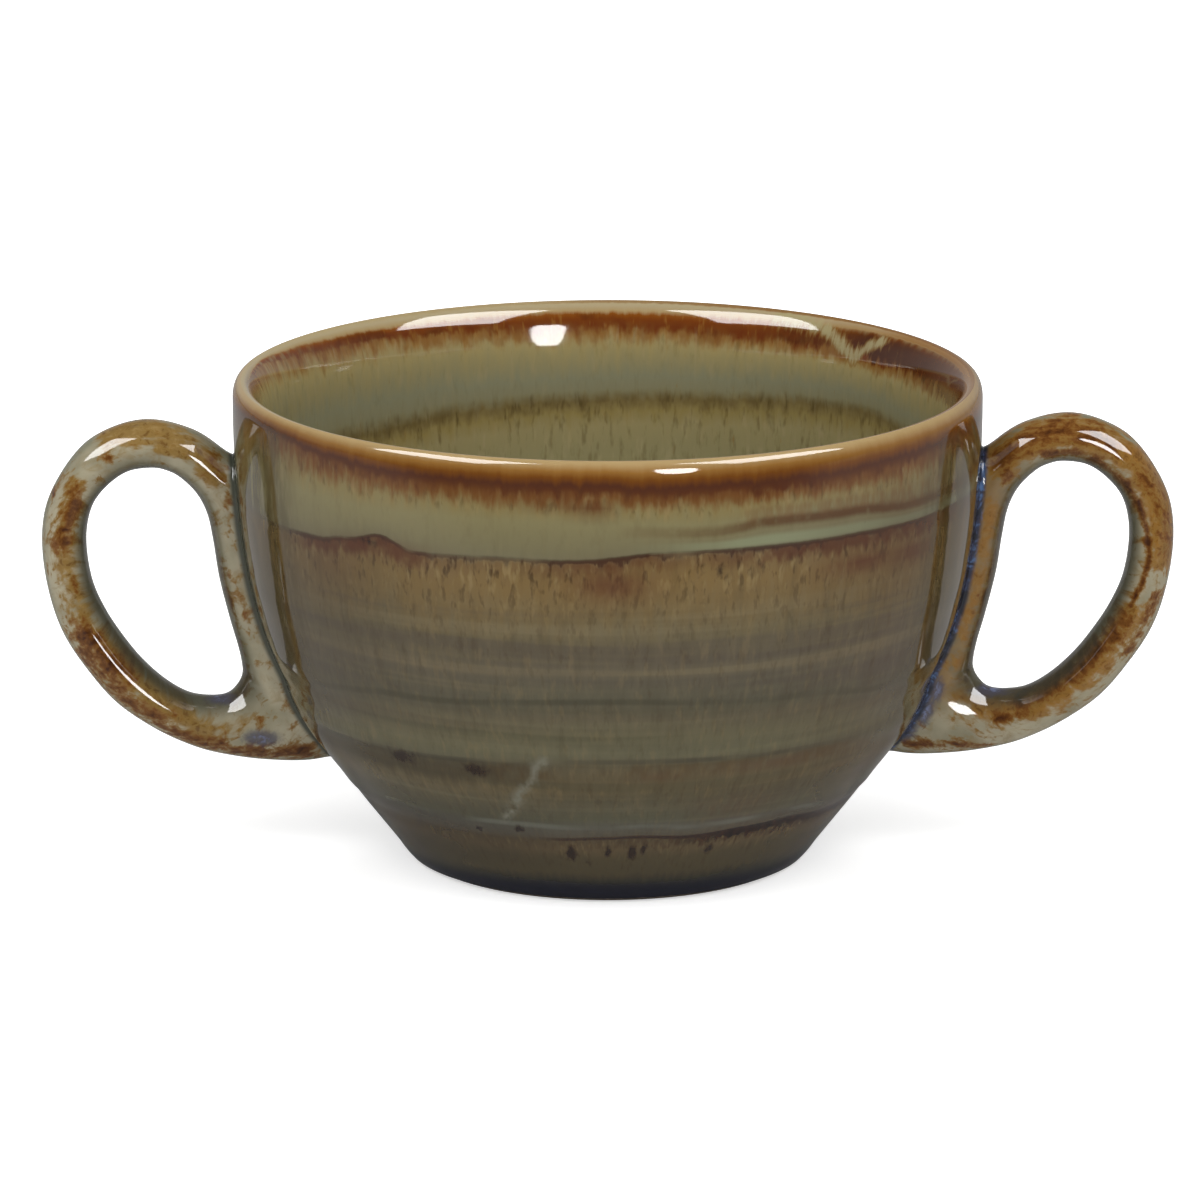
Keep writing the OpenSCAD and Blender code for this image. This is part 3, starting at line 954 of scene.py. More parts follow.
def outside_traits(places):
    """The traits of the outside coat's points."""
    degrees = angles_of(places[:, 0], places[:, 1])
    z = places[:, 2]
    shares = [around(knots, degrees) for knots in (under_line, brown_stripe, ledge_shade)]
    pale_diagonal_w = np.interp(z, *pale_diagonal_widths)
    return {
        "glaze_place": unrolled(places, np.interp(z, wall_heights, outside_run)),
        "lay": lay_of(z, degrees, OUTER_LEVELS, outer_bands),
        "seam": seam_of(places),
        "band_shares": np.stack(shares, 1),
        "brown_mark": spots(degrees, z, brown_marks),
        "dark_mark": spots(degrees, z, dark_marks),
        "pale_mark": stroke(degrees, z, pale_diagonal, pale_diagonal_w),
        **{side_name: around(knots, degrees) for side_name, knots in outside_sides.items()},
    }


print("the outside run is", round(float(run_lengths[-1]), 1), "mm long")

# %% Lay and traits inside
INNER_LEVELS = [0, 50, 54.5, 63.5, 66.6, BOWL_H]
SPOTTED_H = 4.5
rust_edge = [(-85, 67.5), (-102, 68.0), (-114, 66.9), (-125, 66.3), (-135, 66.0), (-150, 65.6), (-164, 64.9),
             (-172, 64.6), (180, 64.8), (170, 64.6), (160, 64.3), (145, 64.4), (127, 64.0), (111, 64.0),
             (97, 64.7), (60, 64.2), (0, 64.6), (-60, 65.6)]
spotted_band = [(-138, 52.9), (-152, 53.7), (-172, 54.3), (164, 55.1), (145, 56.2), (129, 56.8), (110, 55),
                (0, 54), (60, 55), (-60, 53.4)]
spotted_foot = [(a, v - SPOTTED_H) for a, v in spotted_band]
cream_edge = [(-60, 67.5), (-85, 68.1), (-104, 68.4), (-115, 68.0), (-126, 67.6), (-150, 67.1), (-165, 67.2),
              (180, 67.2), (160, 67.1), (145, 67.3), (130, 68.0), (110, 68.1), (60, 67.6), (0, 67.2)]
inner_bands = [0, spotted_foot, spotted_band, rust_edge, cream_edge, BOWL_H]
notch = [(150, 68.0), (144.5, 67.8), (140.3, 67.3), (136.6, 65.8), (132.8, 64.0), (129.9, 66.1),
         (126.5, 67.4)]
notch_widths = [126, 131, 134, 140, 150], [0.9, 1.0, 1.3, 1.2, 1.6]
rust_left = [(-85, 0.35), (-105, 0.45), (-122, 0.7), (-140, 0.95), (-160, 1), (180, 1), (100, 1), (60, 1),
             (0, 0.9), (-60, 0.5)]
cream = [(-70, 1), (-150, 1), (180, 0.9), (150, 0.75), (132, 0.5), (118, 0.15), (60, 0.15), (0, 0.5)]
mauve = [(60, 0.2), (90, 0.8), (103, 0.6), (115, 0.15), (130, 0), (-60, 0.4), (-85, 0.5), (-105, 0)]
dark_places = [(-170, 0.1), (155, 0.1), (142, 0.6), (128, 1), (112, 1), (98, 0.5), (80, 0), (-60, 0),
               (-120, 0.1)]
crest_places = [(-165, 0.2), (180, 0.7), (150, 1), (100, 1), (60, 0.5), (0, 0), (-120, 0)]
inside_heights = np.array([p.y for p in inside_line[::-1]])
inside_lengths = np.cumsum([0] + [(b - a).length for a, b in zip(inside_line, inside_line[1:])])[::-1]


def inside_traits(places):
    """The traits of the inside coat's points."""
    degrees = angles_of(places[:, 0], places[:, 1])
    z = places[:, 2]
    shares = [around(knots, degrees) for knots in (rust_left, cream, mauve)]
    return {
        "glaze_place": unrolled(places, np.interp(z, inside_heights, inside_lengths)),
        "lay": lay_of(z, degrees, INNER_LEVELS, inner_bands),
        "lip_shares": np.stack(shares, 1),
        "pale_notch": stroke(degrees, z, notch, np.interp(degrees, *notch_widths)),
        "dark_rust": around(dark_places, degrees),
        "crest_brown": around(crest_places, degrees),
    }


print("the inside run is", round(float(inside_lengths[0]), 1), "mm long")

# %% [markdown]
# ## Reactive glaze
#
# Reactive glaze is a glossy glass, smooth as a window, with an index of about 1.5. What makes it is the
# colour: iron gives rust and maroon where the coat is thin, rutile gives pale celadon and cream where it is
# thick, and the border between them runs down in drips. A picture of the glaze would be the usual way, but
# it would have to be photographed. Here the colours are laid on as the potter laid them on: a ground of
# level bands first, then runs and drips over it, each from noise drawn out downwards at its real size in
# millimetres.

# %% Runs
SEED_STEPS = (7.1, 3.3, 1.7)


def runs(tree, wide, tall, seed, detail=2.0):
    """Noise drawn out down the wall, with features of that width and height in millimetres."""
    lie = add(tree, "ShaderNodeAttribute", attribute_name="glaze_place").outputs["Vector"]
    drawn = add(tree, "ShaderNodeVectorMath", {0: lie, 1: (1 / wide, 1 / wide, 1 / tall)},
                operation="MULTIPLY").outputs["Vector"]
    moved = add(tree, "ShaderNodeVectorMath", {0: drawn, 1: [seed * step for step in SEED_STEPS]},
                operation="ADD").outputs["Vector"]
    return add(tree, "ShaderNodeTexNoise",
               {"Vector": moved, "Scale": 1.0, "Detail": detail, "Roughness": 0.55}).outputs["Fac"]


print("runs ready")

# %% Colours and amounts by lay
def by_lay(tree, lay, stops):
    """A run of colours over the lay, from (height in millimetres, linear colour) pairs."""
    share = add(tree, "ShaderNodeMapRange", {"Value": lay, "From Max": BOWL_H}).outputs["Result"]
    ramp = add(tree, "ShaderNodeValToRGB", {"Fac": share})
    knots = ramp.color_ramp.elements
    knots[0].position, knots[0].color = stops[0][0] / BOWL_H, stops[0][1]
    knots[1].position, knots[1].color = stops[-1][0] / BOWL_H, stops[-1][1]
    for height, colour in stops[1:-1]:
        knots.new(height / BOWL_H).color = colour
    return ramp.outputs["Color"]


def level_bands(tree, lay, stops):
    """The ground: glaze colours by lay."""
    return by_lay(tree, lay, [(height, linear(colour)) for height, colour in stops])


def level_amounts(tree, lay, stops):
    """A number that changes with the lay."""
    return by_lay(tree, lay, [(height, (amount, amount, amount, 1)) for height, amount in stops])


print("bands by lay ready")

# %% Shares and layers
def share_of(tree, *limits):
    """How much of a glaze there is, from 0 to 1: all its limits multiplied. A limit is a share as it is, or
    (value, start, end, most), which is nothing at start and rises to most, or to 1, at end."""
    share = None
    for limit in limits:
        if isinstance(limit, tuple):
            value, start, end, *most = limit
            limit = add(tree, "ShaderNodeMapRange", {
                "Value": value, "From Min": start, "From Max": end, "To Max": most[0] if most else 1.0},
                interpolation_type="SMOOTHSTEP").outputs["Result"]
        share = limit if share is None else add(
            tree, "ShaderNodeMath", {0: share, 1: limit}, operation="MULTIPLY").outputs["Value"]
    return share


def over(tree, ground, colour, *limits):
    """One glaze colour laid over another, as far as all the limits let it."""
    return add(tree, "ShaderNodeMix", {0: share_of(tree, *limits), 6: ground, 7: linear(colour)},
               data_type="RGBA").outputs[2]


print("layers ready")

# %% Ragged edges, bands and lines
def swayed(tree, lay, streaks, amounts):
    """The lay pushed up and down by streaks, by so many millimetres at most. The ramp gets quarters of the
    amounts, so that none is above 1."""
    push = add(tree, "ShaderNodeMath", {0: streaks, 1: 0.5}, operation="SUBTRACT").outputs["Value"]
    quarters = level_amounts(tree, lay, [(height, amount / 4) for height, amount in amounts])
    push = share_of(tree, push, quarters)
    return add(tree, "ShaderNodeMath", {0: push, 1: 16.0, 2: lay}, operation="MULTIPLY_ADD").outputs["Value"]


def dripping_band(tree, lay, top, depth, hang, wide, tall, seed, edge=0.25, soft=0.6):
    """A band with a clean top edge, whose lower edge hangs down in drips."""
    comb = runs(tree, wide, tall, seed)
    hung = add(tree, "ShaderNodeMath", {0: comb, 1: 4 * hang, 2: lay},
               operation="MULTIPLY_ADD").outputs["Value"]
    end = top - depth + 2 * hang
    return share_of(tree, (lay, top + edge, top - edge), (hung, end - soft, end + soft))


def band(tree, lay, low, high, soft):
    """1 between two levels, with soft edges."""
    return share_of(tree, (lay, low - soft, low + soft), (lay, high + soft, high - soft))


def thin_line(tree, lay, level, half_w, soft):
    """A line along one level."""
    off = add(tree, "ShaderNodeMath", {0: lay, 1: level}, operation="SUBTRACT").outputs["Value"]
    off = add(tree, "ShaderNodeMath", {0: off}, operation="ABSOLUTE").outputs["Value"]
    return share_of(tree, (off, half_w + soft, half_w))


print("bands and lines ready")

# %% Glossy skin
def glossy_coat(tree, colour, roughness=0.06, peel=0.03, peel_size=2.2):
    """The glassy skin: the colours under a smooth face with a faint orange peel."""
    lie = add(tree, "ShaderNodeTexCoord").outputs["Object"]
    skin = add(tree, "ShaderNodeTexNoise",
               {"Vector": lie, "Scale": 1 / (peel_size * MM), "Detail": 1.0}).outputs["Fac"]
    bump = add(tree, "ShaderNodeBump",
               {"Height": skin, "Strength": peel, "Distance": 0.3 * MM}).outputs["Normal"]
    glass = add(tree, "ShaderNodeBsdfPrincipled",
                {"Base Color": colour, "Roughness": roughness, "IOR": 1.5, "Normal": bump})
    add(tree, "ShaderNodeOutputMaterial", {"Surface": glass.outputs["BSDF"]})


print("glossy skin ready")

# %% [markdown]
# ## The outside glaze
#
# From the lip down the photograph shows amber thinning to maroon, a sage band, a dark line from which
# golden runs hang, olive with fine dashes, and three faint ridges, the lowest with a dark line under it.
# The foot is navy.

# %% Ground of the outside
outside_glaze, tree = new_material("reactive_glaze_outside")
lay, left_side = [add(tree, "ShaderNodeAttribute", attribute_name=trait).outputs["Fac"]
                  for trait in ("lay", "left_side")]
shares = add(tree, "ShaderNodeAttribute", attribute_name="band_shares").outputs["Vector"]
share_parts = add(tree, "ShaderNodeSeparateXYZ", {"Vector": shares}).outputs
ragged_lay = swayed(tree, lay, runs(tree, 1.1, 6.0, 1, 3.0), [
    (0, 0.1), (3, 0.15), (5, 0.6), (10.6, 0.6), (11.9, 0.12), (15, 0.2), (18, 0.7), (23, 0.5), (24.6, 0.12),
    (27, 0.5), (33.5, 0.2), (37, 0.6), (46, 1.4), (54.4, 1.1), (55.3, 0.05), (60.5, 0.15), (61.8, 1.2),
    (64.4, 1.0), (65.8, 0.4), (67.3, 0.12), (68.7, 0.1)])
colour = level_bands(tree, ragged_lay, [
    (0.0, "#191a26"), (1.9, "#1a1b29"), (2.7, "#222229"), (3.6, "#36332a"), (5.0, "#4c432f"),
    (8.0, "#4e442e"), (9.8, "#5b4c34"), (11.6, "#51442f"), (12.3, "#544c3d"), (13.8, "#58554a"),
    (15.2, "#55523f"), (17.2, "#59523d"), (20.5, "#60543a"), (23.6, "#5b523d"), (25.4, "#5e5a45"),
    (28.6, "#635d45"), (31.5, "#5b5340"), (34.2, "#555140"), (39.0, "#5c5443"), (44.0, "#62583f"),
    (48.0, "#6c5a38"), (51.5, "#735d37"), (54.6, "#6f5a39"), (55.5, "#6c664d"), (60.2, "#7c7452"),
    (61.8, "#7e7049"), (63.3, "#6d4c2a"), (64.3, "#502c19"), (65.3, "#4b2a1b"), (66.4, "#6b3f12"),
    (67.4, "#88602c"), (68.5, "#a88f63")])
print("ground of the outside laid")

# %% [markdown]
# Over the ground lie the throwing rings, which are level, and the runs, which hang. The greyish rings
# alternate with olive, and the dashes are crystals that the molten glaze drew out.

# %% Rings and runs of the outside
ring_noise = runs(tree, 70.0, 2.3, 31, 2.0)
ring_zone = band(tree, lay, 35, 48, 3)
colour = over(tree, colour, "#494039", (ring_noise, 0.45, 0.66, 0.45), ring_zone)
colour = over(tree, colour, "#7a6d51", (ring_noise, 0.49, 0.3, 0.35), ring_zone)
low_rings = runs(tree, 75.0, 2.6, 32, 2.0)
low_zone = band(tree, lay, 14, 33, 2)
colour = over(tree, colour, "#45422f", (low_rings, 0.48, 0.68, 0.35), low_zone)
colour = over(tree, colour, "#6f6a50", (low_rings, 0.48, 0.3, 0.3), low_zone)
soft_runs = runs(tree, 1.5, 8.0, 40, 4.0)
soft_amount = level_amounts(tree, lay, [
    (0, 0), (6, 0.1), (12, 0.3), (20, 0.8), (52, 1), (54.8, 0.8), (55.6, 0.5), (60.5, 0.45), (62.5, 0),
    (68.7, 0)])
colour = over(tree, colour, "#40341f", (soft_runs, 0.46, 0.78, 0.3), soft_amount)
colour = over(tree, colour, "#756a50", (soft_runs, 0.52, 0.22, 0.2), soft_amount)
dash_amount = level_amounts(tree, lay, [
    (0, 0), (4, 0.05), (6, 0.25), (11, 0.3), (13, 0.1), (19, 0.25), (25, 0.12), (34, 0.18), (45, 0.25),
    (51, 0.5), (53, 0.75), (55.2, 0.9), (55.5, 0.04), (61, 0.08), (61.8, 0.4), (63.8, 0.3), (65, 0.05),
    (68.7, 0)])
dashes = share_of(tree, (runs(tree, 0.75, 2.4, 2, 2.0), 0.52, 0.7))
colour = over(tree, colour, "#3b2c19", dashes, dash_amount)
pale_amount = level_amounts(tree, lay, [
    (0, 0), (7, 0), (11, 0.25), (12.4, 0.05), (20, 0.15), (33, 0.12), (46, 0.12), (50, 0.35), (54.5, 0.75),
    (55.4, 0.05), (60, 0.05), (61.8, 0.5), (63.5, 0.45), (64.5, 0), (68.7, 0)])
pale_runs = share_of(tree, (runs(tree, 0.9, 3.0, 3, 2.0), 0.52, 0.72))
colour = over(tree, colour, "#8c7850", pale_runs, pale_amount)
print("rings and runs laid")

# %% Brown of the outside
streaky = share_of(tree, (runs(tree, 0.9, 4.0, 33, 2.0), 0.3, 0.62))
under = dripping_band(tree, lay, top=55.3, depth=1.9, hang=0.8, wide=0.9, tall=3.0, seed=5, edge=0.1,
                      soft=0.9)
under = share_of(tree, under, share_parts["X"], (runs(tree, 2.5, 3.0, 34), 0.15, 0.5, 0.95))
colour = over(tree, colour, "#4f2b19", under)
colour = over(tree, colour, "#7f8466", thin_line(tree, lay, 56.4, 0.25, 0.9),
              (share_parts["Y"], 0.1, 0.7, 0.75))
stripe = share_of(tree, band(tree, ragged_lay, 58.2, 59.7, 0.55), share_parts["Y"])
stripe = share_of(tree, stripe, (runs(tree, 1.6, 3.0, 35), 0.05, 0.5, 0.9))
colour = over(tree, colour, "#50321a", stripe)
colour = over(tree, colour, "#6b4a2c", band(tree, lay, 59.4, 61.5, 0.6), (share_parts["Y"], 0.5, 1.0, 0.5),
              streaky)
line = share_of(tree, thin_line(tree, ragged_lay, 55.3, 0.12, 0.38), (share_parts["X"], -0.45, 0.6))
colour = over(tree, colour, "#392318", line, (runs(tree, 5.0, 4.0, 8), 0.15, 0.5, 0.85))
brown_mark = add(tree, "ShaderNodeAttribute", attribute_name="brown_mark").outputs["Fac"]
colour = over(tree, colour, "#522c19", brown_mark, (runs(tree, 1.0, 3.5, 17), 0.1, 0.5, 0.9))
comb = dripping_band(tree, lay, top=64.5, depth=1.5, hang=1.2, wide=1.0, tall=3.6, seed=10, edge=0.8,
                     soft=0.9)
colour = over(tree, colour, "#65401f", comb, (runs(tree, 1.8, 4.0, 11), 0.3, 0.65, 0.75))
amber = dripping_band(tree, lay, top=24.2, depth=1.8, hang=1.7, wide=1.6, tall=4.0, seed=14, edge=0.4,
                      soft=1.2)
colour = over(tree, colour, "#4d3a20", amber, (runs(tree, 6.0, 4.0, 15), 0.42, 0.64, 0.45))
print("brown laid")

# %% Lines and shaded sides
right_side, beside_lug = [add(tree, "ShaderNodeAttribute", attribute_name=trait).outputs["Fac"]
                          for trait in ("right_side", "beside_lug")]
faint = share_of(tree, thin_line(tree, lay, 34.0, 0.15, 0.6), (runs(tree, 16.0, 6.0, 36), 0.35, 0.6, 0.5))
colour = over(tree, colour, "#3d3a2a", faint)
green = share_of(tree, thin_line(tree, lay, 24.6, 0.12, 0.45), (runs(tree, 14.0, 6.0, 37), 0.35, 0.6, 0.5))
colour = over(tree, colour, "#38342a", green)
left_patch = share_of(tree, (left_side, 0.6, 1.0, 0.5), band(tree, lay, 28, 54, 4))
colour = over(tree, colour, "#463d30", left_patch)
low_left = share_of(tree, (left_side, 0.3, 0.9, 0.4), band(tree, lay, 6, 17, 2.5))
colour = over(tree, colour, "#2b2419", low_left)
ridge_shade = dripping_band(tree, lay, top=24.5, depth=3.6, hang=0.8, wide=1.4, tall=5.0, seed=45,
                            edge=0.35, soft=1.4)
ridge_shade = share_of(tree, ridge_shade, (left_side, 0.25, 0.85, 0.55))
colour = over(tree, colour, "#2c2417", ridge_shade)
right_amount = level_amounts(tree, lay, [
    (0, 0), (8, 0.1), (16, 0.3), (44, 0.25), (50, 0.4), (55, 0.45), (60, 0.35), (64, 0), (68.7, 0)])
colour = over(tree, colour, "#42260a", right_side, right_amount)
# Painted reflection: beside each lug the wall is darkened, standing in for the dark mirror image of the lug's
# strap.
lug_reflection_shade = share_of(tree, beside_lug, band(tree, lay, 26, 65, 3))
colour = over(tree, colour, "#43371c", lug_reflection_shade, (soft_runs, 0.2, 0.6, 0.75))
print("lines and shaded sides laid")

# %% The ledge and single marks
above_ledge = add(tree, "ShaderNodeMath", {0: left_side, 1: -1.2, 2: lay},
                  operation="MULTIPLY_ADD").outputs["Value"]
colour = over(tree, colour, "#6d6e62", thin_line(tree, above_ledge, 13.5, 0.1, 0.55),
              (runs(tree, 11.0, 5.0, 38), 0.35, 0.65, 0.5))
ledge_line = share_of(tree, thin_line(tree, lay, 11.8, 0.12, 0.3), (share_parts["Z"], 0.12, 0.4, 0.9))
colour = over(tree, colour, "#2c1710", ledge_line)
ledge_band = dripping_band(tree, lay, top=12.1, depth=1.4, hang=0.6, wide=0.9, tall=2.4, seed=12,
                           edge=0.12, soft=0.4)
colour = over(tree, colour, "#1e100b", ledge_band, (share_parts["Z"], 0.32, 0.65))
ledge_drips = dripping_band(tree, lay, top=12.0, depth=2.0, hang=1.0, wide=0.7, tall=2.4, seed=18,
                            edge=0.2, soft=0.5)
colour = over(tree, colour, "#3a2114", ledge_drips, (share_parts["Z"], 0.15, 0.6, 0.8),
              (runs(tree, 0.8, 2.4, 13), 0.42, 0.6))
dark_mark, pale_mark, seam, crest_back = [
    add(tree, "ShaderNodeAttribute", attribute_name=trait).outputs["Fac"]
    for trait in ("dark_mark", "pale_mark", "seam", "crest_back")]
frayed_mark = add(tree, "ShaderNodeMath", {0: runs(tree, 0.8, 1.4, 41, 3.0), 1: 0.9, 2: dark_mark},
                  operation="MULTIPLY_ADD").outputs["Value"]
colour = over(tree, colour, "#271810", (frayed_mark, 0.6, 1.15, 0.92))
colour = over(tree, colour, "#7c7b6c", pale_mark, (runs(tree, 1.5, 2.0, 39), 0.25, 0.6, 0.75))
colour = over(tree, colour, "#2b2e30", (seam, 2.3, 1.3, 0.9))
colour = over(tree, colour, "#6a4720", (lay, 66.8, 67.6), crest_back)
glossy_coat(tree, colour)
print("outside glaze of", len(tree.nodes), "nodes")

# %% [markdown]
# ## The inside glaze
#
# Inside, the lip is cream, then comes a rust band with a comb of short drips, then celadon with fine
# streaks and a brown spotted band. Behind and to the right the cream runs down through the rust in a notch.

# %% Ground and streaks of the inside
inside_glaze, tree = new_material("reactive_glaze_inside")
lay = add(tree, "ShaderNodeAttribute", attribute_name="lay").outputs["Fac"]
shares = add(tree, "ShaderNodeAttribute", attribute_name="lip_shares").outputs["Vector"]
share_parts = add(tree, "ShaderNodeSeparateXYZ", {"Vector": shares}).outputs
ragged_lay = swayed(tree, lay, runs(tree, 1.1, 5.0, 21, 4.0), [
    (0, 0.5), (48, 0.8), (53.6, 0.8), (54.5, 0.4), (56, 0.5), (61, 1.0), (63.5, 1.1), (65.0, 0.5),
    (66.6, 0.35), (67.6, 0.12), (68.7, 0.1)])
colour = level_bands(tree, ragged_lay, [
    (0.0, "#5d5a40"), (20.0, "#6b674b"), (40.0, "#7e7957"), (47.0, "#837b58"), (50.5, "#8b8059"),
    (52.6, "#857547"), (54.2, "#74653f"), (55.7, "#7f7a5e"), (57.4, "#828066"), (59.5, "#8f8661"),
    (61.8, "#9b8c5e"), (63.2, "#8f6c3a"), (64.2, "#70390c"), (65.6, "#763a09"), (66.3, "#83490f"),
    (67.0, "#a48d62"), (68.0, "#a69878"), (68.7, "#a59369")])
dash_amount = level_amounts(tree, lay, [
    (0, 0.1), (40, 0.3), (50, 0.45), (54.0, 0.8), (55.0, 0.5), (56, 0.1), (60, 0.12), (63.5, 0.45),
    (65, 0.1), (68.7, 0)])
dashes = share_of(tree, (runs(tree, 0.8, 3.0, 22, 2.0), 0.5, 0.76))
colour = over(tree, colour, "#4a3d22", dashes, dash_amount)
pale_amount = level_amounts(tree, lay, [
    (0, 0.1), (48, 0.2), (57, 0.1), (61, 0.22), (63.8, 0.5), (65, 0), (68.7, 0)])
pale_runs = share_of(tree, (runs(tree, 1.0, 4.0, 27, 2.0), 0.52, 0.78))
colour = over(tree, colour, "#aa9b74", pale_runs, pale_amount)
print("ground of the inside laid")

# %% Rust, lip and notch of the inside
dark_rust, pale_notch, crest_brown = [
    add(tree, "ShaderNodeAttribute", attribute_name=trait).outputs["Fac"]
    for trait in ("dark_rust", "pale_notch", "crest_brown")]
fringe = dripping_band(tree, lay, top=64.6, depth=2.0, hang=1.6, wide=1.5, tall=3.2, seed=41, edge=1.0,
                       soft=1.1)
colour = over(tree, colour, "#80572a", fringe, share_parts["X"],
              (runs(tree, 2.6, 3.0, 42), 0.25, 0.6, 0.75))
comb = dripping_band(tree, lay, top=65.2, depth=1.6, hang=1.3, wide=1.3, tall=3.6, seed=23, edge=0.8,
                     soft=0.8)
comb = share_of(tree, comb, share_parts["X"])
colour = over(tree, colour, "#682f0b", comb, (runs(tree, 2.2, 4.0, 24), 0.28, 0.62, 0.9))
rust_zone = share_of(tree, band(tree, ragged_lay, 63.9, 66.4, 0.5), share_parts["X"])
golden_runs = share_of(tree, rust_zone, (runs(tree, 0.7, 3.5, 43, 2.0), 0.56, 0.7, 0.5))
colour = over(tree, colour, "#94662b", golden_runs)
brown_clouds = share_of(tree, rust_zone, (runs(tree, 5.0, 4.0, 44, 3.0), 0.5, 0.66, 0.6))
colour = over(tree, colour, "#512507", brown_clouds)
dark_zone = share_of(tree, (ragged_lay, 63.4, 64.4), (lay, 67.0, 65.9, 0.85))
colour = over(tree, colour, "#421f0a", dark_rust, dark_zone)
left_lip = share_of(tree, band(tree, ragged_lay, 63.9, 66.8, 0.5), (share_parts["X"], 0.85, 0.3, 0.65))
colour = over(tree, colour, "#8b7d57", left_lip, (runs(tree, 1.2, 3.0, 28), 0.4, 0.6))
spotted = dripping_band(tree, lay, top=55.0, depth=1.5, hang=1.5, wide=1.1, tall=3.6, seed=25, edge=1.0,
                        soft=1.1)
colour = over(tree, colour, "#574828", spotted, (runs(tree, 2.0, 2.6, 26), 0.3, 0.68, 0.7))
colour = over(tree, colour, "#5b3a22", band(tree, ragged_lay, 62.6, 68.1, 0.6), share_parts["Z"])
brown_lip = share_of(tree, (ragged_lay, 66.6, 67.2), (share_parts["Y"], 0.9, 0.1, 0.8))
colour = over(tree, colour, "#8a5f2c", brown_lip)
frayed_notch = add(tree, "ShaderNodeMath", {0: runs(tree, 0.5, 2.5, 29, 4.0), 1: 1.6, 2: pale_notch},
                   operation="MULTIPLY_ADD").outputs["Value"]
notch_rim = share_of(tree, (frayed_notch, 1.0, 1.45, 0.75), (lay, 67.5, 66.4))
colour = over(tree, colour, "#83602f", notch_rim)
colour = over(tree, colour, "#a1966e", (frayed_notch, 1.25, 1.85, 0.92))
colour = over(tree, colour, "#7a5224", (ragged_lay, 68.2, 68.5, 0.85), crest_brown)
glossy_coat(tree, colour)
print("inside glaze of", len(tree.nodes), "nodes")

# %% [markdown]
# ## The lugs' glaze
#
# The lugs took more of the pale glaze, because they stood proud of the dip. Rust breaks through it in
# islands, most on the top and the outer side. The islands are noise with a threshold, and the rust trait
# moves the threshold, so that they lie where the real lugs have them. In the crease the glaze pools dark,
# and blue where it is deepest.

# %% Reactive glaze of the lugs
lug_glaze, tree = new_material("reactive_glaze_lugs")
lie = add(tree, "ShaderNodeTexCoord").outputs["Object"]
clouds = add(tree, "ShaderNodeTexNoise", {"Vector": lie, "Scale": 1 / (5 * MM), "Detail": 3.0,
                                         "Roughness": 0.5}).outputs["Fac"]
grain = add(tree, "ShaderNodeTexNoise", {"Vector": lie, "Scale": 1 / (1.1 * MM), "Detail": 3.0,
                                        "Roughness": 0.6, "Distortion": 0.6}).outputs["Fac"]
veins = add(tree, "ShaderNodeTexNoise", {"Vector": lie, "Scale": 1 / (2.4 * MM), "Detail": 4.0,
                                        "Roughness": 0.6, "Distortion": 0.8}).outputs["Fac"]
across, tan, rust, gold, warm, pool, seam, seam_blue = [
    add(tree, "ShaderNodeAttribute", attribute_name=trait).outputs["Fac"]
    for trait in ("across", "tan", "rust", "gold", "warm", "pool", "seam", "seam_blue")]
flow = runs(tree, 1.9, 1.2, 51, 3.0)
ground = add(tree, "ShaderNodeValToRGB", {"Fac": clouds})
grey_end, pale_end = ground.color_ramp.elements
grey_end.position, grey_end.color = 0.32, linear("#857f68")
pale_end.position, pale_end.color = 0.66, linear("#a69e86")
colour = over(tree, ground.outputs["Color"], "#7b5f38", (tan, 0.1, 1.0, 0.9))
colour = over(tree, colour, "#857049", (veins, 0.5, 0.7, 0.5))
colour = over(tree, colour, "#6a6149", tan, (clouds, 0.48, 0.62))
outer_edge = share_of(tree, (across, 0.72, 0.99, 0.7), (clouds, 0.35, 0.55))
colour = over(tree, colour, "#63654f", outer_edge)
print("pale glaze of the lugs laid")

# %% Rust, blue and seam of the lugs
gold_here = add(tree, "ShaderNodeMath", {0: flow, 1: 2.0, 2: gold},
                operation="MULTIPLY_ADD").outputs["Value"]
golden = share_of(tree, (gold_here, 1.1, 1.75, 0.9))
colour = over(tree, colour, "#80642f", golden)
colour = over(tree, colour, "#86591f", golden, warm)
pale_specks = share_of(tree, (gold_here, 1.3, 1.7), (grain, 0.52, 0.66, 0.5))
colour = over(tree, colour, "#9c8354", pale_specks)
brown_specks = share_of(tree, (gold_here, 1.35, 1.8), (grain, 0.48, 0.34, 0.7))
colour = over(tree, colour, "#5c3d18", brown_specks)
mottle = add(tree, "ShaderNodeMath", {0: flow, 1: 1.8, 2: rust},
             operation="MULTIPLY_ADD").outputs["Value"]
mottle = add(tree, "ShaderNodeMath", {0: grain, 1: 1.5, 2: mottle},
             operation="MULTIPLY_ADD").outputs["Value"]
for tone, start, end, most in [("#7f6130", 1.75, 2.1, 0.75), ("#6f451a", 1.95, 2.35, 0.85),
                               ("#573210", 2.2, 2.6, 0.85), ("#35190a", 2.5, 3.0, 0.85)]:
    colour = over(tree, colour, tone, (mottle, start, end, most))
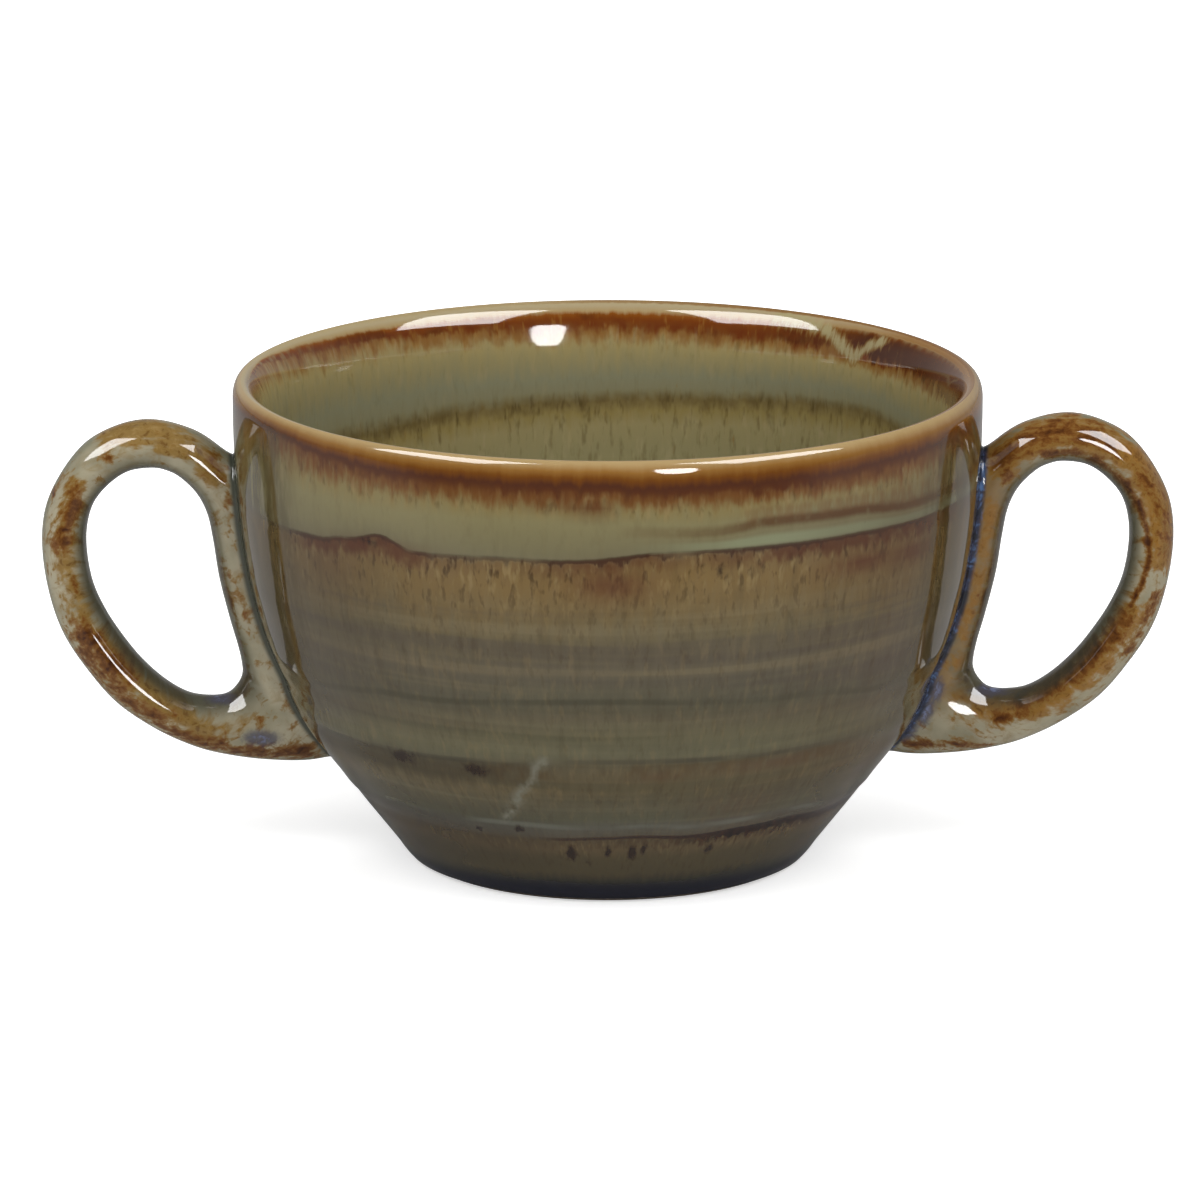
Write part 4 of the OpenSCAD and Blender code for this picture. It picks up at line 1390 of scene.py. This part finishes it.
# Painted shade and reflection: the side towards the finger hole is darkened to dark grey-green, over a glaze
# that is a little darker there itself.
colour = over(tree, colour, "#3f4035", (across, -0.35, -0.93, 0.85))
blue = add(tree, "ShaderNodeMath", {0: grain, 1: 0.6, 2: pool}, operation="MULTIPLY_ADD").outputs["Value"]
colour = over(tree, colour, "#4c4a55", (blue, 0.45, 0.95, 0.85))
colour = over(tree, colour, "#6f7898", (blue, 0.85, 1.2, 0.8), (grain, 0.45, 0.62))
seam_colour = add(tree, "ShaderNodeMix", {0: seam_blue, 6: linear("#3a3d35"), 7: linear("#232a40")},
                  data_type="RGBA").outputs[2]
in_seam = share_of(tree, (seam, 1.25, 0.45, 0.95))
colour = add(tree, "ShaderNodeMix", {0: in_seam, 6: colour, 7: seam_colour}, data_type="RGBA").outputs[2]
seam_dark = share_of(tree, in_seam, seam_blue, (veins, 0.52, 0.4, 0.85))
colour = over(tree, colour, "#1c1f23", seam_dark)
glint = share_of(tree, in_seam, seam_blue, (grain, 0.45, 0.6), (veins, 0.46, 0.6, 0.75))
colour = over(tree, colour, "#51709c", glint)
glossy_coat(tree, colour, peel=0.05)
print("lug glaze of", len(tree.nodes), "nodes")

# %% Where the lugs' rust and gold lie
LEFT_RUST = [
    ([(-74.8, 52.8), (-75.6, 49.6), (-77.1, 45.2)], 1.5, 0.8),
    ([(-74.1, 32.5), (-71.7, 29.9), (-68.9, 26.9)], 2.2, 0.95),
    ([(-74.1, 29.6), (-70.5, 25.2), (-66.8, 21.8), (-61.6, 18.6)], 1.5, 0.75),
    ([(-61.6, 17.9), (-56.4, 16.2), (-51.6, 15.2), (-42.2, 14.9)], 1.3, 0.8),
    ([(-55.4, 57.9), (-54.0, 54.5), (-53.3, 51.6)], 0.9, 0.6),
    ([(-51.2, 27.2), (-51.3, 24.2), (-52.8, 22.5)], 0.8, 0.8),
    ([(-49.3, 20.1), (-49.4, 18.6)], 0.5, 0.6),
    ([(-70.4, 58.3), (-70.1, 57.9)], 0.7, 0.9),
    ([(-78.1, 52.6), (-78.1, 52.3)], 0.45, 0.9),
    ([(-75.3, 40.6), (-74.8, 38.4)], 0.5, 0.6),
    ([(-46.0, 24.7), (-45.3, 22.5)], 0.6, 0.35),
    ([(-53.5, 41.3), (-51.2, 37.4), (-50.7, 32.5)], 0.5, 0.35),
    ([(-56.0, 47.2), (-54.5, 41.3), (-52.8, 35.0), (-51.7, 28.6)], 0.5, 0.5),
]
LEFT_GOLD = [
    ([(-71.0, 60.9), (-64.4, 61.6), (-60.6, 60.3), (-57.3, 58.1), (-54.9, 55.2)], 1.8, 0.9),
    ([(-63.2, 59.4), (-59.7, 58.6)], 0.8, 1),
    ([(-74.8, 53.5), (-76.2, 48.1), (-76.7, 43.3), (-75.3, 38.9), (-74.1, 35.0), (-72.4, 32.5)], 1.9, 0.7),
    ([(-72.4, 32.5), (-68.2, 26.7), (-63.9, 22.8), (-60.1, 20.3), (-57.3, 17.9)], 2.2, 0.95),
    ([(-59.2, 16.9), (-55.4, 17.9), (-51.6, 20.3)], 1.3, 0.5),
]
RIGHT_RUST = [
    ([(54.9, 57.4), (56.8, 59.1), (59.8, 60.9), (64.1, 61.9), (68.1, 61.2), (71.2, 59.4)], 1.7, 0.85),
    ([(61.3, 58.6), (65.0, 58.9), (69.3, 57.2), (72.4, 54.7), (74.3, 51.6)], 0.8, 0.85),
    ([(73.5, 56.9), (76.4, 53.5), (78.3, 49.6), (79.0, 45.7), (78.7, 43.3)], 1.3, 0.6),
    ([(74.7, 51.6), (75.9, 47.2), (76.4, 43.8), (75.4, 39.8), (73.8, 36.4)], 0.5, 1),
    ([(72.8, 34.5), (71.2, 31.8), (68.4, 29.1), (65.0, 26.2), (61.7, 23.8), (58.4, 22.5)], 1.6, 0.95),
    ([(54.9, 20.1), (57.5, 20.3), (58.9, 20.8)], 0.9, 0.9),
    ([(78.0, 38.4), (76.4, 35.5), (75.0, 32.5), (73.1, 29.6)], 1.0, 0.6),
    ([(56.3, 51.6), (55.1, 45.2), (53.2, 36.9), (51.6, 30.6), (50.8, 25.2)], 0.55, 0.8),
    ([(42.4, 16.4), (48.0, 16.2), (54.2, 15.9)], 0.7, 0.75),
    ([(55.6, 56.9), (56.1, 55.0)], 1.0, 0.6),
]
RIGHT_GOLD = [
    ([(54.9, 57.4), (59.8, 60.6), (65.0, 61.6), (71.2, 59.4), (74.5, 56.9), (77.1, 52.5), (78.5, 48.1),
      (78.7, 43.8)], 2.1, 1.1),
    ([(74.0, 35.5), (68.8, 27.7), (63.2, 23.3), (57.5, 21.3), (52.8, 21.6)], 2.2, 0.8),
    ([(54.2, 52.0), (53.2, 44.7), (51.3, 36.4), (49.9, 28.6), (49.9, 22.8)], 1.5, 0.5),
]
LEFT_POOL = [(-55, 22.4, 2.4, 0.9, 0.75), (-49, 17.3, 3.0, 1.5, 0.8)]
RIGHT_POOL = [(54.5, 23.6, 3.0, 0.8, 0.9), (46.6, 24.5, 1.2, 2.2, 0.8), (44.8, 21.5, 1.5, 2.4, 0.95),
              (42.6, 18.6, 1.5, 2.0, 0.85)]
print("strokes on the left lug:", len(LEFT_RUST + LEFT_GOLD))
print("strokes on the right lug:", len(RIGHT_RUST + RIGHT_GOLD))

# %% Traits of the lugs' coats
EAR_MIDDLE = Vector((65.0, 39.0))
EAR_ROUND_R = 15.0
LEG_REACH = 9
SIDE_FLOW = 0.8
TAN_BASE, TAN_LEAST = 0.3, 0.15
TAN_START, TAN_RISE = 18, 6


def lug_traits(skin, rust_strokes, gold_strokes, pool_marks, warm, blue):
    """A function that finds the traits of one lug's points."""
    def traits(places):
        x, y, z = places.T
        seam = np.empty(len(places))
        for i, p in enumerate(places):
            co = Vector(p)
            from_wall, from_ear = off_the_wall(co)[0], off_the_ear(co, skin)[0]
            seam[i] = from_wall if from_ear < from_wall else 0
        leg = np.clip(1 - seam / LEG_REACH, 0, 1)
        tan_low = np.clip((z - TAN_START) / TAN_RISE, TAN_LEAST, 1)
        aside, above = np.abs(x) - EAR_MIDDLE.x, z - EAR_MIDDLE.y
        out = np.hypot(aside, above)
        round_x, round_z = EAR_ROUND_R * aside / out, EAR_ROUND_R * above / out
        return {
            "glaze_place": np.stack([round_x, round_z, out + SIDE_FLOW * y], 1),
            "seam": seam,
            "seam_blue": np.full(len(places), blue),
            "rust": brushed(x, z, rust_strokes),
            "gold": brushed(x, z, gold_strokes),
            "pool": spots(x, z, pool_marks),
            "tan": np.clip(warm * (TAN_BASE + leg), 0, 1) * tan_low,
            "warm": np.full(len(places), warm),
        }
    return traits


print("the lugs' flow turns round", EAR_MIDDLE[:], "mm")

# %% [markdown]
# ## The underside
#
# The recess inside the foot ring is glazed too, so that the bowl can be washed and stacked wet. The glaze
# there is dark, and it creeps up a little where it meets the ring.

# %% Glaze of the recess
recess_glaze, tree = new_material("dark_glaze_recess")
lie = add(tree, "ShaderNodeTexCoord").outputs["Object"]
clouds = add(tree, "ShaderNodeTexNoise",
             {"Vector": lie, "Scale": 1 / (5 * MM), "Detail": 3.0}).outputs["Fac"]
ground = add(tree, "ShaderNodeValToRGB", {"Fac": clouds})
navy_end, grey_end = ground.color_ramp.elements
navy_end.position, navy_end.color = 0.35, linear("#20222d")
grey_end.position, grey_end.color = 0.7, linear("#3d3a34")
glossy_coat(tree, ground.outputs["Color"])

CREEP_W, CREEP_H = 2, 0.12
RIM_GAP = 0.02
recess_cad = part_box("foot_recess_glaze")
recess_r, recess_top, recess_low = recess_cad[1].x / MM, recess_cad[1].z / MM, recess_cad[0].z / MM
recess_line = [Vector((0, recess_top)), Vector((recess_r, recess_top)),
               Vector((recess_r, recess_low + RIM_GAP))]
recess_line += [Vector((recess_r - CREEP_W * t, recess_low + CREEP_H * (1 - t) ** 2))
                for t in (0.05, 0.3, 0.6, 1)]
recess_line += [Vector((recess_r * share, recess_low + CREEP_H)) for share in (0.7, 0.4, 0.15, 0)]
recess_form = spun(recess_line, 96)
print("recess glaze of", round(recess_r, 1), "mm radius")

# %% [markdown]
# ## The clay under it all
#
# The body is fired stoneware, grey-brown and matt, with a fine grit. It shows at the foot ring, where the
# bowl stood bare in the kiln. The CAD solids of the clay and the slip are the right shape, so they only get
# a material.

# %% Fired stoneware and slip
def fired_clay(name, pale, dark, grit):
    """Matt clay with grains of that size in millimetres."""
    clay, tree = new_material(name)
    lie = add(tree, "ShaderNodeTexCoord").outputs["Object"]
    grains = add(tree, "ShaderNodeTexNoise",
                 {"Vector": lie, "Scale": 1 / (grit * MM), "Detail": 4.0}).outputs["Fac"]
    tint = add(tree, "ShaderNodeValToRGB", {"Fac": grains})
    dark_end, pale_end = tint.color_ramp.elements
    dark_end.position, dark_end.color = 0.35, linear(dark)
    pale_end.position, pale_end.color = 0.65, linear(pale)
    bump = add(tree, "ShaderNodeBump",
               {"Height": grains, "Strength": 0.3, "Distance": 0.1 * MM}).outputs["Normal"]
    matt = add(tree, "ShaderNodeBsdfPrincipled",
               {"Base Color": tint.outputs["Color"], "Roughness": 0.85, "IOR": 1.5, "Normal": bump})
    add(tree, "ShaderNodeOutputMaterial", {"Surface": matt.outputs["BSDF"]})
    return clay


stoneware = fired_clay("fired_stoneware", "#8f8271", "#6f6557", 0.5)
slip = fired_clay("fired_slip", "#857358", "#6f5f48", 0.3)
for node, clay in (("bowl_body", stoneware), ("left_lug", stoneware), ("right_lug", stoneware),
                   ("left_lug_slip", slip), ("right_lug_slip", slip)):
    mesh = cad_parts[node].data
    mesh.materials.clear()
    mesh.materials.append(clay)
print("clay pieces finished")

# %% Make the pieces
for form in (outside_form, inside_form, left_ear, right_ear):
    thicken(form)
bmesh.ops.recalc_face_normals(recess_form, faces=recess_form.faces)
piece_from(outside_form, "outside_coat", outside_glaze, "outside_glaze", outside_traits)
piece_from(inside_form, "inside_coat", inside_glaze, "inside_glaze", inside_traits)
piece_from(left_ear, "left_lug_coat", lug_glaze, "left_lug_glaze",
           lug_traits(left_skin, LEFT_RUST, LEFT_GOLD, LEFT_POOL, 0.1, 0.0))
piece_from(right_ear, "right_lug_coat", lug_glaze, "right_lug_glaze",
           lug_traits(right_skin, RIGHT_RUST, RIGHT_GOLD, RIGHT_POOL, 0.8, 1.0))
piece_from(recess_form, "recess_coat", recess_glaze, "foot_recess_glaze", lambda places: {})

# %% [markdown]
# ## The size
#
# The box round all the shown pieces is measured here.

# %% Measure the box of the shown pieces
low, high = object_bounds()
